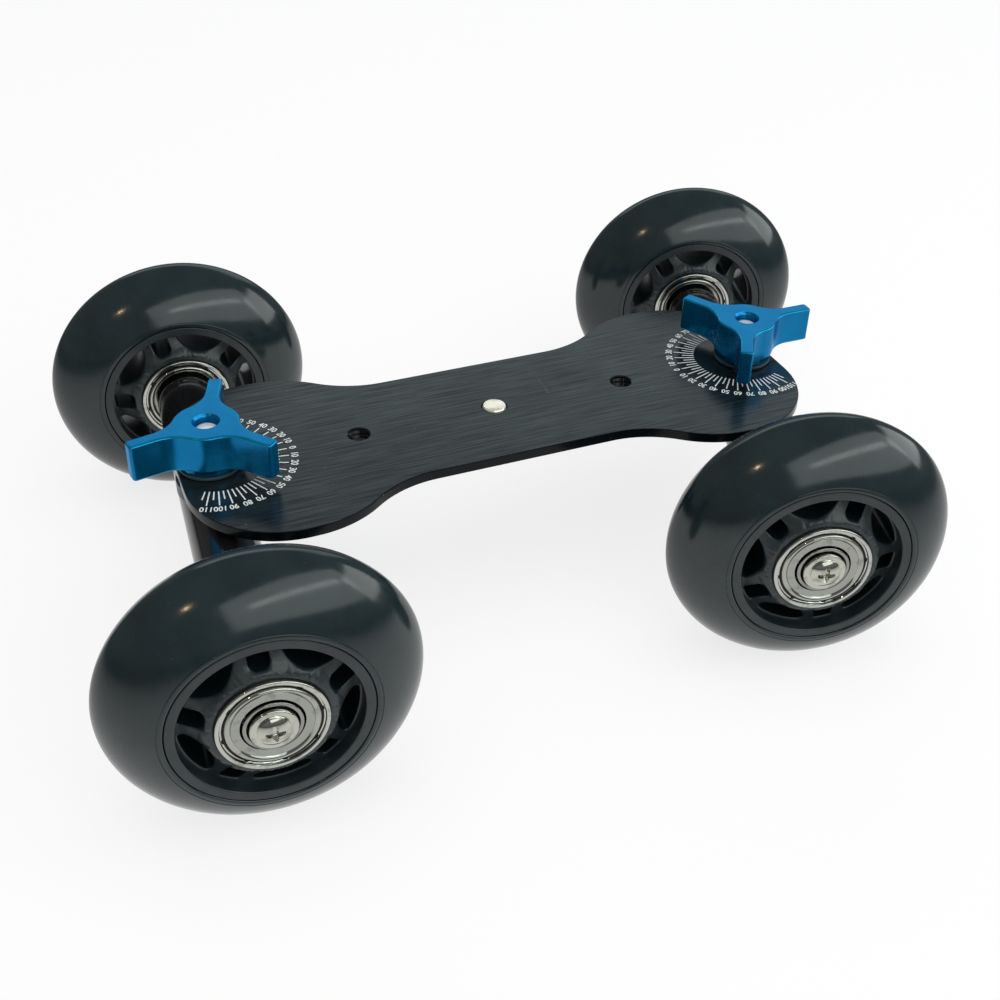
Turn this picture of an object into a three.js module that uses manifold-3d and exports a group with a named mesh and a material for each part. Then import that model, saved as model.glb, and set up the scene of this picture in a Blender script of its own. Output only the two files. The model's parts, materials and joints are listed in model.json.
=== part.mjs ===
// Camera skater dolly: a dog-bone plate on two swivelling axle bars with four skate wheels.
// Millimetres, +Z up, +X along the plate. The origin is on the ground, under the middle of the footprint.
import * as THREE from "three";
import { mergeVertices } from "three/addons/utils/BufferGeometryUtils.js";
import Module from "manifold-3d";

const wasm = await Module();
wasm.setup();

// Mounting plate
const plateLength = 152;
const plateLobeWidth = 61;
const plateWaistWidth = 40;
const plateThickness = 2.5;
const plateCornerRadius = 22;
const plateShoulderRadius = 25;
const plateLobeFlat = 1.5;
const plateEdgeChamfer = 0.3;
const pivotInset = 7.6;
const accessoryHoleSpacing = 67.8;
const accessoryHoleDiameter = 5.6;
const accessoryHoleCountersink = 0.5;

// Gap between neighbouring pieces, how far a cut runs past its solid, and which points count as one
const clearance = 0.3;
const cutOverrun = 1;
const weldDistance = 1e-4;

// Camera screw in the middle of the plate
const cameraScrewDiameter = 6.2;
const cameraScrewTipDiameter = 5.2;
const cameraScrewProud = 0.5;
const cameraScrewTravel = 4.5;
const cameraScrewHeadDiameter = 13;
const cameraScrewHeadThickness = 4;
const cameraScrewHeadChamfer = 0.6;
const cameraScrewSlotWidth = 1.6;
const cameraScrewSlotDepth = 1.5;

// Axle bars, and how far each one is swivelled
const barDiameter = 15;
const barChamfer = 0.6;
const barSeatHeight = 5.4;
const barSeatLength = 17;
const axleDrop = 11.8;
const wheelTrack = 119.2;
const leftTruckAngle = -3.83;
const rightTruckAngle = -15.34;

// Clamp at each pivot: stud, two washers and a three-armed knob
const studDiameter = 5;
const studChamfer = 0.5;
const studTopDrop = 1.65;
const studDepthInBar = 9;
const swivelWasherDiameter = 16;
const knobWasherDiameter = 14.4;
const knobWasherThickness = 0.7;
const washerChamfer = 0.15;
const knobHeight = 11.45;
const knobHubDiameter = 14.8;
const knobArmReach = 18;
const knobArmWidth = 3.3;
const knobArmFillet = 8;
const knobArmTipRadius = 0.8;
const knobArmLift = 1.3;
const knobEdgeChamfer = 0.4;
const knobMouthFlare = 0.3;
const leftKnobAngle = 71;
const rightKnobAngle = 119.5;

// Wheels: tyre and moulded hub
const tyreDepth = 12.15;
const tyreWidth = 23.9;
const tyreFoot = 3.25;
const tyreRoundness = 1.65;
const hubDiameter = 40.1;
const hubRimWidth = 22;
const hubRimThickness = 2.1;
const hubDish = 3.2;
const hubBossWall = 1.3;
const hubShoulderWall = 2.4;
const hubSlotWidth = 4;
const hubSlotLand = 0.3;
const hubSlotRootShare = 0.4;
const hubBowRadius = 8;
const hubBowLand = 0.6;
const hubRimLedge = 0.25;

// Ball bearings, 8 x 22 x 7
const bearingDiameter = 22;
const bearingBore = 8;
const bearingWidth = 7;
const bearingSpread = 23.7;
const outerRaceWall = 1.4;
const innerRaceWall = 1.9;
const shieldBoreGap = 0.35;
const shieldThickness = 0.5;
const shieldRecess = 0.35;
const ballDiameter = 3.9;
const trackWidth = 3.2;
const outerTrackDepth = 0.5;
const innerTrackDepth = 0.7;
const cageThickness = 1.2;

// Axle: stepped sleeve through both bearings, screw from outside, washer against the bar
const sleeveCollarDiameter = 11;
const axleScrewDiameter = 5;
const axleScrewReach = 12;
const screwFlangeDiameter = 8.8;
const screwFlangeThickness = 0.8;
const screwHeadDiameter = 6.6;
const screwHeadHeight = 1.4;
const screwHeadCrown = 0.6;
const crossSlotWidth = 1.1;
const crossSlotLength = 4;
const crossSlotDepth = 1.1;
const endWasherDiameter = 11.4;
const endWasherThickness = 0.8;

// Counts, and the angle that each wheel has rolled to
const spokePairs = 5;
const knobArms = 3;
const ballCount = 7;
const tyreSteps = 32;
const tyreProfileSteps = 6;
const hubSteps = 20;
const outerRaceSteps = 12;
const innerRaceSteps = 12;
const screwSteps = 14;
const holeSteps = 16;
const barSteps = 24;
const washerSteps = 20;
const wheelPhases = { frontLeft: 22.9, rearLeft: 65.1, frontRight: 66.4, rearRight: 54.7 };

// Radii, half lengths and levels. Level zero is the top of the plate.
const pivotX = plateLength / 2 - pivotInset;
const axleLevel = -axleDrop;
const barRadius = barDiameter / 2;
const barSeatLevel = axleLevel + barSeatHeight;
const studRadius = studDiameter / 2;
const studHoleRadius = studRadius + clearance;
const knobUnderside = clearance + knobWasherThickness + clearance;
const hubRadius = hubDiameter / 2;
const tyreRadius = hubRadius + tyreDepth;
const bearingRadius = bearingDiameter / 2;
const boreRadius = bearingBore / 2;
const bearingFace = bearingSpread / 2;
const bearingInnerFace = bearingFace - bearingWidth;
const innerRaceRadius = boreRadius + innerRaceWall;
const outerRaceInnerRadius = bearingRadius - outerRaceWall;
const ballPitchRadius = (innerRaceRadius - innerTrackDepth + outerRaceInnerRadius + outerTrackDepth) / 2;
const axleScrewRadius = axleScrewDiameter / 2;
const axleHoleRadius = axleScrewRadius + clearance;
const wheelOffset = wheelTrack / 2;
const barHalfLength = wheelOffset - bearingFace - clearance - endWasherThickness - clearance;

const finishes = {
  anodisedBlack: { color: 0x33393b, roughness: 0.42, metalness: 0.7 },
  glossBlack: { color: 0x1c1f21, roughness: 0.25, metalness: 0.6 },
  anodisedBlue: { color: 0x1273a8, roughness: 0.35, metalness: 0.7 },
  urethane: { color: 0x23292b, roughness: 0.3, metalness: 0 },
  hubNylon: { color: 0x3c3f45, roughness: 0.55, metalness: 0 },
  bearingSteel: { color: 0xc9c6c0, roughness: 0.18, metalness: 1 },
  screwSteel: { color: 0xb9bbb8, roughness: 0.25, metalness: 1 },
  washerNylon: { color: 0x8fa3ad, roughness: 0.5, metalness: 0 },
};

function radians(degrees) {
  return THREE.MathUtils.degToRad(degrees);
}

// A closed geometry as a solid that can be cut and joined.
function solidOf(geometry) {
  const bare = new THREE.BufferGeometry();
  bare.setAttribute("position", geometry.getAttribute("position"));
  bare.setIndex(geometry.index);
  const merged = mergeVertices(bare, weldDistance);
  return new wasm.Manifold(new wasm.Mesh({
    numProp: 3,
    vertProperties: new Float32Array(merged.attributes.position.array),
    triVerts: new Uint32Array(merged.index.array),
  }));
}

function geometryOf(solid) {
  const found = solid.getMesh();
  const geometry = new THREE.BufferGeometry();
  geometry.setAttribute("position", new THREE.BufferAttribute(found.vertProperties, found.numProp));
  geometry.setIndex(new THREE.BufferAttribute(found.triVerts, 1));
  const faceted = geometry.toNonIndexed();
  faceted.computeVertexNormals();
  return faceted;
}

function piece(name, geometry, finish) {
  const made = new THREE.Mesh(geometry, new THREE.MeshStandardMaterial(finishes[finish]));
  made.name = name;
  return made;
}

// A piece turned about Z. The profile's points are [radius, height], up the outside and down the inside.
function turned(profile, steps) {
  const points = profile.map(([radius, height]) => new THREE.Vector2(radius, height));
  return new THREE.LatheGeometry(points, steps).rotateX(radians(90));
}

// The profile of a solid round bar with chamfered ends.
function barProfile(radius, low, high, chamfer) {
  return [
    [0, low],
    [radius - chamfer, low],
    [radius, low + chamfer],
    [radius, high - chamfer],
    [radius - chamfer, high],
    [0, high],
  ];
}

// The profile of a washer with one chamfered edge on top.
function washerProfile(inner, outer, low, high, chamfer) {
  return [
    [inner, low],
    [outer, low],
    [outer, high - chamfer],
    [outer - chamfer, high],
    [inner, high],
    [inner, low],
  ];
}

// A round cutter along Z.
function drill(radius, low, high) {
  return solidOf(turned([[0, low], [radius, low], [radius, high], [0, high]], holeSteps));
}

// A round cutter whose upper edge flares out to the given mouth at the surface, and runs on past it.
function flaredDrill(radius, mouth, low, surface) {
  return solidOf(turned([
    [0, low],
    [radius, low],
    [radius, surface - (mouth - radius)],
    [mouth, surface],
    [mouth, surface + cutOverrun],
    [0, surface + cutOverrun],
  ], holeSteps));
}

// A flat outline raised between two heights. A chamfer keeps the outline's outer size.
function raised(points, low, high, chamfer) {
  const geometry = new THREE.ExtrudeGeometry(new THREE.Shape(points), {
    depth: high - low - 2 * chamfer,
    bevelEnabled: chamfer > 0,
    bevelThickness: chamfer,
    bevelSize: chamfer,
    bevelOffset: -chamfer,
    bevelSegments: 1,
  });
  return geometry.translate(0, 0, low + chamfer);
}

// Points along an arc, both ends included.
function arcPoints(centreX, centreY, radius, startAngle, endAngle, steps) {
  const points = [];
  for (let i = 0; i <= steps; i += 1) {
    const angle = startAngle + ((endAngle - startAngle) * i) / steps;
    points.push(new THREE.Vector2(centreX + radius * Math.cos(angle), centreY + radius * Math.sin(angle)));
  }
  return points;
}

// A quarter of the plate's outline: waist arc, shoulder arc and corner arc, which meet tangentially.
function plateQuarter() {
  const halfLobe = plateLobeWidth / 2;
  const halfWaist = plateWaistWidth / 2;
  const cornerX = plateLength / 2 - plateCornerRadius;
  const shoulderX = cornerX - plateLobeFlat;
  const slope = Math.acos(1 - (halfLobe - halfWaist) / (2 * plateShoulderRadius));
  const waistX = shoulderX - 2 * plateShoulderRadius * Math.sin(slope);
  const waistY = halfWaist + plateShoulderRadius;
  const shoulderY = halfLobe - plateShoulderRadius;
  const cornerY = halfLobe - plateCornerRadius;
  const down = radians(-90);
  const up = radians(90);
  const waist = arcPoints(waistX, waistY, plateShoulderRadius, down, down + slope, 3);
  const shoulder = arcPoints(shoulderX, shoulderY, plateShoulderRadius, up + slope, up, 3);
  const corner = arcPoints(cornerX, cornerY, plateCornerRadius, up, 0, 8);
  return [...waist, ...shoulder.slice(1), ...corner];
}

function plateOutline() {
  const ahead = plateQuarter();
  const back = [...ahead].reverse();
  const mirrored = (points, signX, signY) => points.map((p) => new THREE.Vector2(signX * p.x, signY * p.y));
  return [
    ...mirrored(back, 1, 1),
    ...mirrored(ahead, -1, 1),
    ...mirrored(back, -1, -1),
    ...mirrored(ahead, 1, -1),
  ];
}

function mountingPlate() {
  const low = -plateThickness - cutOverrun;
  const threadRadius = accessoryHoleDiameter / 2;
  let solid = solidOf(raised(plateOutline(), -plateThickness, 0, plateEdgeChamfer));
  for (const side of [-1, 1]) {
    const studHole = drill(studHoleRadius, low, cutOverrun);
    const thread = flaredDrill(threadRadius, threadRadius + accessoryHoleCountersink, low, 0);
    solid = solid.subtract(studHole.translate([side * pivotX, 0, 0]));
    solid = solid.subtract(thread.translate([(side * accessoryHoleSpacing) / 2, 0, 0]));
  }
  solid = solid.subtract(drill(cameraScrewDiameter / 2 + clearance, low, cutOverrun));
  return piece("mounting_plate", geometryOf(solid), "anodisedBlack");
}

// The screw's tip stands just proud of the plate, and its head hangs below by the screw's travel.
function cameraScrew() {
  const shank = cameraScrewDiameter / 2;
  const tip = cameraScrewTipDiameter / 2;
  const head = cameraScrewHeadDiameter / 2;
  const headTop = -plateThickness - cameraScrewTravel - clearance;
  const headLow = headTop - cameraScrewHeadThickness;
  const screw = solidOf(turned([
    [0, headLow],
    [head - cameraScrewHeadChamfer, headLow],
    [head, headLow + cameraScrewHeadChamfer],
    [head, headTop - cameraScrewHeadChamfer],
    [head - cameraScrewHeadChamfer, headTop],
    [shank, headTop],
    [shank, cameraScrewProud - (shank - tip)],
    [tip, cameraScrewProud],
    [0, cameraScrewProud],
  ], holeSteps));
  const slotHeight = cameraScrewSlotDepth + cutOverrun;
  const slotLength = cameraScrewHeadDiameter + cutOverrun;
  const slot = new THREE.BoxGeometry(slotLength, cameraScrewSlotWidth, slotHeight);
  slot.translate(0, 0, headLow + cameraScrewSlotDepth - slotHeight / 2);
  return piece("camera_screw", geometryOf(screw.subtract(solidOf(slot))), "screwSteel");
}

// The round bar lies along Y, with a flat seat on top, the stud's hole in it and a screw's hole in each end.
function axleBar(name) {
  const holeDepth = axleScrewReach + clearance;
  const studHoleLow = barSeatHeight - studDepthInBar - clearance;
  const seatDepth = barRadius - barSeatHeight + cutOverrun;
  let solid = solidOf(turned(barProfile(barRadius, -barHalfLength, barHalfLength, barChamfer), barSteps));
  for (const turn of [0, 180]) {
    const hole = drill(axleHoleRadius, barHalfLength - holeDepth, barHalfLength + cutOverrun);
    solid = solid.subtract(hole.rotate([turn, 0, 0]));
  }
  const seat = new THREE.BoxGeometry(barDiameter + cutOverrun, barSeatLength, seatDepth);
  seat.translate(0, 0, barSeatHeight + seatDepth / 2);
  solid = solid.rotate([90, 0, 0]).subtract(solidOf(seat));
  solid = solid.subtract(drill(studHoleRadius, studHoleLow, barSeatHeight + cutOverrun));
  const bar = piece(name, geometryOf(solid), "glossBlack");
  bar.position.z = axleLevel;
  return bar;
}

function clampStud(name) {
  const low = barSeatLevel - studDepthInBar;
  const high = knobHeight - studTopDrop;
  return piece(name, turned(barProfile(studRadius, low, high, studChamfer), holeSteps), "screwSteel");
}

// The swivel washer fills the space between the bar's seat and the underside of the plate.
function swivelWasher(name) {
  const low = barSeatLevel + clearance;
  const high = -plateThickness - clearance;
  const profile = washerProfile(studHoleRadius, swivelWasherDiameter / 2, low, high, washerChamfer);
  return piece(name, turned(profile, washerSteps), "washerNylon");
}

function knobWasher(name) {
  const low = clearance;
  const high = low + knobWasherThickness;
  const profile = washerProfile(studHoleRadius, knobWasherDiameter / 2, low, high, washerChamfer);
  return piece(name, turned(profile, washerSteps), "washerNylon");
}

// The knob's outline, one third at a time: hub arc, fillet, the tip of an arm along +Y, and back likewise.
function knobOutline() {
  const hub = knobHubDiameter / 2;
  const half = knobArmWidth / 2;
  const filletX = half + knobArmFillet;
  const filletY = Math.sqrt((hub + knobArmFillet) ** 2 - filletX ** 2);
  const tangent = Math.atan2(filletY, filletX);
  const middle = radians(90) - radians(180) / knobArms;
  const hubArc = arcPoints(0, 0, hub, middle, tangent, 2);
  const fillet = arcPoints(filletX, filletY, knobArmFillet, tangent - radians(180), radians(-180), 4);
  const cornerY = knobArmReach - knobArmTipRadius;
  const corner = arcPoints(half - knobArmTipRadius, cornerY, knobArmTipRadius, 0, radians(90), 2);
  const rising = [...hubArc, ...fillet.slice(1), ...corner];
  const falling = rising.slice(1).reverse().map((p) => new THREE.Vector2(-p.x, p.y));
  const axis = new THREE.Vector2();
  const outline = [];
  for (let arm = 0; arm < knobArms; arm += 1) {
    const turn = (arm * radians(360)) / knobArms;
    outline.push(...[...rising, ...falling].map((p) => p.clone().rotateAround(axis, turn)));
  }
  return outline;
}

function clampKnob(name, armAngle) {
  const armLow = knobUnderside + knobArmLift;
  const footRadius = knobHubDiameter / 2 - knobEdgeChamfer;
  const foot = solidOf(turned([
    [0, knobUnderside],
    [footRadius - knobEdgeChamfer, knobUnderside],
    [footRadius, knobUnderside + knobEdgeChamfer],
    [footRadius, armLow + cutOverrun],
    [0, armLow + cutOverrun],
  ], washerSteps));
  const arms = solidOf(raised(knobOutline(), armLow, knobHeight, knobEdgeChamfer));
  const mouth = studHoleRadius + knobMouthFlare;
  const hole = flaredDrill(studHoleRadius, mouth, knobUnderside - cutOverrun, knobHeight);
  const knob = piece(name, geometryOf(arms.add(foot).subtract(hole)), "anodisedBlue");
  knob.rotation.z = radians(armAngle - 90);
  return knob;
}

// The tyre's section is a super-ellipse outside and a plain bore inside. It stands on a flat, not a corner.
function tyre(name) {
  const power = 2 / tyreRoundness;
  const bore = hubRadius + clearance;
  const middleRadius = bore - tyreFoot;
  const rise = tyreRadius - middleRadius;
  const startAngle = Math.asin((tyreFoot / rise) ** (1 / power));
  const facetShare = 1 / Math.cos(radians(180) / tyreSteps);
  const profile = [];
  for (let i = 0; i <= tyreProfileSteps; i += 1) {
    const angle = startAngle + ((radians(180) - 2 * startAngle) * i) / tyreProfileSteps;
    const across = -Math.sign(Math.cos(angle)) * Math.abs(Math.cos(angle)) ** power;
    const radius = middleRadius + rise * Math.sin(angle) ** power;
    profile.push([radius * facetShare, (across * tyreWidth) / 2]);
  }
  profile.push(profile[0]);
  const made = piece(name, turned(profile, tyreSteps), "urethane");
  made.rotation.z = radians(180) / tyreSteps;
  return made;
}

// A U-shaped slot between the two spokes of a pair, open towards the rim. It points along +X.
function hubSlotOutline(bossRadius, rimRadius) {
  const half = hubSlotWidth / 2;
  const rootX = bossRadius + hubSlotLand;
  const rootDepth = (rimRadius - rootX) * hubSlotRootShare;
  const root = arcPoints(rootX + half, 0, half, radians(90), radians(270), 3);
  for (const point of root) {
    point.x = rootX + ((point.x - rootX) * rootDepth) / half;
  }
  const reach = Math.asin(half / rimRadius);
  return [...root, ...arcPoints(0, 0, rimRadius, -reach, reach, 1)];
}

// A bow-shaped gap between two pairs of spokes, from a round scoop and the rim. It points along +X.
function hubBowOutline(bossRadius, rimRadius) {
  const centre = bossRadius + hubBowLand + hubBowRadius;
  const cornerX = (rimRadius ** 2 + centre ** 2 - hubBowRadius ** 2) / (2 * centre);
  const cornerY = Math.sqrt(rimRadius ** 2 - cornerX ** 2);
  const scoopEnd = Math.atan2(cornerY, cornerX - centre);
  const rimEnd = Math.atan2(cornerY, cornerX);
  const scoop = arcPoints(centre, 0, hubBowRadius, scoopEnd, radians(360) - scoopEnd, 5);
  return [...scoop, ...arcPoints(0, 0, rimRadius, -rimEnd, rimEnd, 3).slice(1, -1)];
}

// The spokes are level with the rim's edge beside the bearings, and slope inwards from there to the rim.
function wheelHub(name, phase) {
  const rim = hubRimWidth / 2;
  const rimInner = hubRadius - hubRimThickness;
  const spokeEnd = rim - hubDish;
  const seat = bearingRadius + clearance;
  const bossRadius = seat + hubBossWall;
  const shoulder = bearingRadius - hubShoulderWall;
  const floor = bearingInnerFace - clearance;
  let solid = solidOf(turned([
    [hubRadius, -rim],
    [hubRadius, rim],
    [rimInner, rim],
    [rimInner, spokeEnd],
    [bossRadius, rim],
    [seat, rim],
    [seat, floor],
    [shoulder, floor],
    [shoulder, -floor],
    [seat, -floor],
    [seat, -rim],
    [bossRadius, -rim],
    [rimInner, -spokeEnd],
    [rimInner, -rim],
    [hubRadius, -rim],
  ], hubSteps));
  const cutRim = (rimInner - hubRimLedge) * Math.cos(radians(180) / hubSteps);
  const low = -rim - cutOverrun;
  const high = rim + cutOverrun;
  for (let pair = 0; pair < spokePairs; pair += 1) {
    const turn = (pair * 360) / spokePairs;
    const slot = solidOf(raised(hubSlotOutline(bossRadius, cutRim), low, high, 0));
    const bow = solidOf(raised(hubBowOutline(bossRadius, cutRim), low, high, 0));
    solid = solid.subtract(slot.rotate([0, 0, turn]));
    solid = solid.subtract(bow.rotate([0, 0, turn + 180 / spokePairs]));
  }
  const hub = piece(name, geometryOf(solid), "hubNylon");
  hub.rotation.z = radians(phase);
  return hub;
}

// The outer race has the balls' track in its middle, and carries a thin shield inside each face.
function outerRace(name) {
  const half = bearingWidth / 2;
  const track = trackWidth / 2;
  const shieldFace = half - shieldRecess;
  const shieldBack = shieldFace - shieldThickness;
  const shieldBore = innerRaceRadius + shieldBoreGap;
  return piece(name, turned([
    [bearingRadius, -half],
    [bearingRadius, half],
    [outerRaceInnerRadius, half],
    [outerRaceInnerRadius, shieldFace],
    [shieldBore, shieldFace],
    [shieldBore, shieldBack],
    [outerRaceInnerRadius, shieldBack],
    [outerRaceInnerRadius, track],
    [outerRaceInnerRadius + outerTrackDepth, 0],
    [outerRaceInnerRadius, -track],
    [outerRaceInnerRadius, -shieldBack],
    [shieldBore, -shieldBack],
    [shieldBore, -half],
    [bearingRadius, -half],
  ], outerRaceSteps), "bearingSteel");
}

function innerRace(name) {
  const half = bearingWidth / 2;
  const track = trackWidth / 2;
  return piece(name, turned([
    [boreRadius, -half],
    [innerRaceRadius, -half],
    [innerRaceRadius, -track],
    [innerRaceRadius - innerTrackDepth, 0],
    [innerRaceRadius, track],
    [innerRaceRadius, half],
    [boreRadius, half],
    [boreRadius, -half],
  ], innerRaceSteps), "bearingSteel");
}

// The balls of one bearing with the thin cage that holds them apart.
function ballCage(name) {
  const half = cageThickness / 2;
  let solid = solidOf(turned([
    [ballPitchRadius - half, -half],
    [ballPitchRadius + half, 0],
    [ballPitchRadius - half, half],
    [ballPitchRadius - half, -half],
  ], ballCount));
  for (let i = 0; i < ballCount; i += 1) {
    const angle = (i * radians(360)) / ballCount;
    const ball = new THREE.SphereGeometry(ballDiameter / 2, 5, 3);
    ball.translate(ballPitchRadius * Math.sin(angle), -ballPitchRadius * Math.cos(angle), 0);
    solid = solid.add(solidOf(ball));
  }
  return piece(name, geometryOf(solid), "bearingSteel");
}

// The sleeve runs through both inner races, and its collar keeps them apart.
function axleSleeve(name) {
  const collar = bearingInnerFace - clearance;
  const collarRadius = sleeveCollarDiameter / 2;
  const outer = boreRadius - clearance;
  return piece(name, turned([
    [axleHoleRadius, -bearingFace],
    [outer, -bearingFace],
    [outer, -collar],
    [collarRadius, -collar],
    [collarRadius, collar],
    [outer, collar],
    [outer, bearingFace],
    [axleHoleRadius, bearingFace],
    [axleHoleRadius, -bearingFace],
  ], innerRaceSteps), "screwSteel");
}

// The screw's flange bears on the outboard inner race, and its shank runs into the end of the bar.
function axleScrew(name) {
  const flange = screwFlangeDiameter / 2;
  const flangeLow = bearingFace + clearance;
  const flangeHigh = flangeLow + screwFlangeThickness;
  const head = screwHeadDiameter / 2;
  const top = flangeHigh + screwHeadHeight;
  const tip = wheelOffset - barHalfLength + axleScrewReach;
  const screw = solidOf(turned([
    [0, -tip],
    [axleScrewRadius, -tip],
    [axleScrewRadius, flangeLow],
    [flange, flangeLow],
    [flange, flangeHigh],
    [head, flangeHigh],
    [head, top - screwHeadCrown],
    [head - screwHeadCrown, top],
    [0, top],
  ], screwSteps));
  const slotHeight = crossSlotDepth + cutOverrun;
  const across = new THREE.BoxGeometry(crossSlotLength, crossSlotWidth, slotHeight);
  const along = new THREE.BoxGeometry(crossSlotWidth, crossSlotLength, slotHeight);
  const cross = solidOf(across).add(solidOf(along));
  const cut = screw.subtract(cross.translate([0, 0, top - crossSlotDepth + slotHeight / 2]));
  return piece(name, geometryOf(cut), "screwSteel");
}

// The washer between the inboard bearing and the end of the bar.
function endWasher(name) {
  const high = -bearingFace - clearance;
  const low = high - endWasherThickness;
  const outer = endWasherDiameter / 2;
  return piece(name, turned([
    [axleHoleRadius, low],
    [outer, low],
    [outer, high],
    [axleHoleRadius, high],
    [axleHoleRadius, low],
  ], innerRaceSteps), "screwSteel");
}

// A wheel with all that is on its axle. Its own +Z points outwards along the axle.
function wheelAssembly(corner, phase) {
  const wheel = new THREE.Group();
  wheel.add(tyre(`tyre_${corner}`), wheelHub(`wheel_hub_${corner}`, phase));
  wheel.add(axleSleeve(`axle_sleeve_${corner}`), axleScrew(`axle_screw_${corner}`));
  wheel.add(endWasher(`end_washer_${corner}`));
  for (const [place, side] of [["outboard", 1], ["inboard", -1]]) {
    const bearing = new THREE.Group();
    bearing.add(outerRace(`${place}_outer_race_${corner}`));
    bearing.add(innerRace(`${place}_inner_race_${corner}`));
    bearing.add(ballCage(`${place}_ball_cage_${corner}`));
    bearing.position.z = side * (bearingFace - bearingWidth / 2);
    bearing.rotation.x = side > 0 ? 0 : radians(180);
    wheel.add(bearing);
  }
  wheel.position.set(0, -wheelOffset, axleLevel);
  wheel.rotation.x = radians(90);
  return wheel;
}

// One truck: the bar with its clamp, a wheel in front, and another behind that faces the other way.
function truck(side, pivot, angle, knobAngle, frontPhase, rearPhase) {
  const rear = new THREE.Group();
  rear.add(wheelAssembly(`rear_${side}`, rearPhase));
  rear.rotation.z = radians(180);
  const swivel = new THREE.Group();
  swivel.add(axleBar(`axle_bar_${side}`), clampStud(`clamp_stud_${side}`));
  swivel.add(swivelWasher(`swivel_washer_${side}`));
  swivel.add(wheelAssembly(`front_${side}`, frontPhase), rear);
  swivel.rotation.z = radians(angle);
  const group = new THREE.Group();
  group.add(swivel, knobWasher(`knob_washer_${side}`), clampKnob(`clamp_knob_${side}`, knobAngle));
  group.position.x = pivot;
  return group;
}

const assembly = new THREE.Group();
assembly.add(mountingPlate(), cameraScrew());
assembly.add(
  truck("left", -pivotX, leftTruckAngle, leftKnobAngle, wheelPhases.frontLeft, wheelPhases.rearLeft),
);
assembly.add(
  truck("right", pivotX, rightTruckAngle, rightKnobAngle, wheelPhases.frontRight, wheelPhases.rearRight),
);

// The dolly stands on the ground, with the box round it centred on the origin.
const box = new THREE.Box3().setFromObject(assembly, true);
const middle = box.getCenter(new THREE.Vector3());
assembly.position.set(-middle.x, -middle.y, -box.min.z);

const dolly = new THREE.Group();
dolly.add(assembly);
export default dolly;
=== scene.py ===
import json
from math import acos, asin, atan2, copysign, cos, degrees, hypot, pi, radians, sin, sqrt, tan
import bmesh
import bpy
from mathutils import Matrix, Vector


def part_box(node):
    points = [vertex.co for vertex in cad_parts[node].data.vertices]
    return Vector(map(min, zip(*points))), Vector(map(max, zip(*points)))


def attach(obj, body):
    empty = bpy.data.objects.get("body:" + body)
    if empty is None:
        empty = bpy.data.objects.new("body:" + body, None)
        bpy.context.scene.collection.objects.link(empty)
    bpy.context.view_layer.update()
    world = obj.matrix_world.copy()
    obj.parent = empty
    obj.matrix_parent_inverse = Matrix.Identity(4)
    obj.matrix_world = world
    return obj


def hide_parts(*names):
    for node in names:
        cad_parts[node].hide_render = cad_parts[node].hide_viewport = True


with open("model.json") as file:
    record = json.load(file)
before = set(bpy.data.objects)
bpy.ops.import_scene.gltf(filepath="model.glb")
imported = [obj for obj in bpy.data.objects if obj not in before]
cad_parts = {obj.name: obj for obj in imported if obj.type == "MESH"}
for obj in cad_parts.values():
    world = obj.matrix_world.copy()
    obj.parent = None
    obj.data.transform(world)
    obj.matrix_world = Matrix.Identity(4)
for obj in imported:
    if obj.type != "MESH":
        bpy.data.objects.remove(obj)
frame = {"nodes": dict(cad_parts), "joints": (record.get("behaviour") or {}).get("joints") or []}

# shapes are drawn in millimetres and become metres when their mesh is made
mm = 0.001
up = Vector((0, 0, 1))
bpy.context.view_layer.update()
joints = {joint["name"]: joint for joint in frame["joints"]}
print("frame loaded, %d nodes" % len(frame["nodes"]))


# outlines and meshes

def arcPoints(centreX, centreY, radius, startDegrees, endDegrees, steps):
    points = []
    for i in range(steps + 1):
        angle = radians(startDegrees + (endDegrees - startDegrees) * i / steps)
        points.append(Vector((centreX + radius * cos(angle), centreY + radius * sin(angle))))
    return points


def circlePoints(radius, steps):
    return arcPoints(0, 0, radius, 0, 360, steps)[:-1]


# softens the corners of a turned section, where each corner is (radius, height, rounding)
def softened(corners, closed=True, steps=3):
    points = []
    count = len(corners)
    for i, (x, y, rounding) in enumerate(corners):
        here = Vector((x, y))
        atEnd = not closed and i in (0, count - 1)
        if rounding == 0 or atEnd:
            points.append(here)
            continue
        back = Vector(corners[i - 1][:2]) - here
        ahead = Vector(corners[(i + 1) % count][:2]) - here
        half = back.angle(ahead) / 2
        reach = min(rounding / tan(half), 0.49 * back.length, 0.49 * ahead.length)
        radius = reach * tan(half)
        middle = here + (back.normalized() + ahead.normalized()).normalized() * (reach / cos(half))
        first = here + back.normalized() * reach - middle
        last = here + ahead.normalized() * reach - middle
        startAngle = atan2(first.y, first.x)
        sweep = (atan2(last.y, last.x) - startAngle + pi) % (2 * pi) - pi
        for k in range(steps + 1):
            angle = startAngle + sweep * k / steps
            points.append(middle + radius * Vector((cos(angle), sin(angle))))
    return points


# half a section and its mirror image below
def mirrored(corners):
    return corners + [(radius, -z, *rest) for radius, z, *rest in reversed(corners)]


# moves an anticlockwise outline outwards, or inwards where the distance is negative
def offsetOutline(points, distance):
    moved = []
    for i, here in enumerate(points):
        into = (here - points[i - 1]).normalized()
        away = (points[(i + 1) % len(points)] - here).normalized()
        sideIn = Vector((into.y, -into.x))
        bisector = (sideIn + Vector((away.y, -away.x))).normalized()
        moved.append(here + bisector * (distance / max(0.4, bisector.dot(sideIn))))
    return moved


def atHeight(points, z):
    return [(p.x, p.y, z) for p in points]


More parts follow.
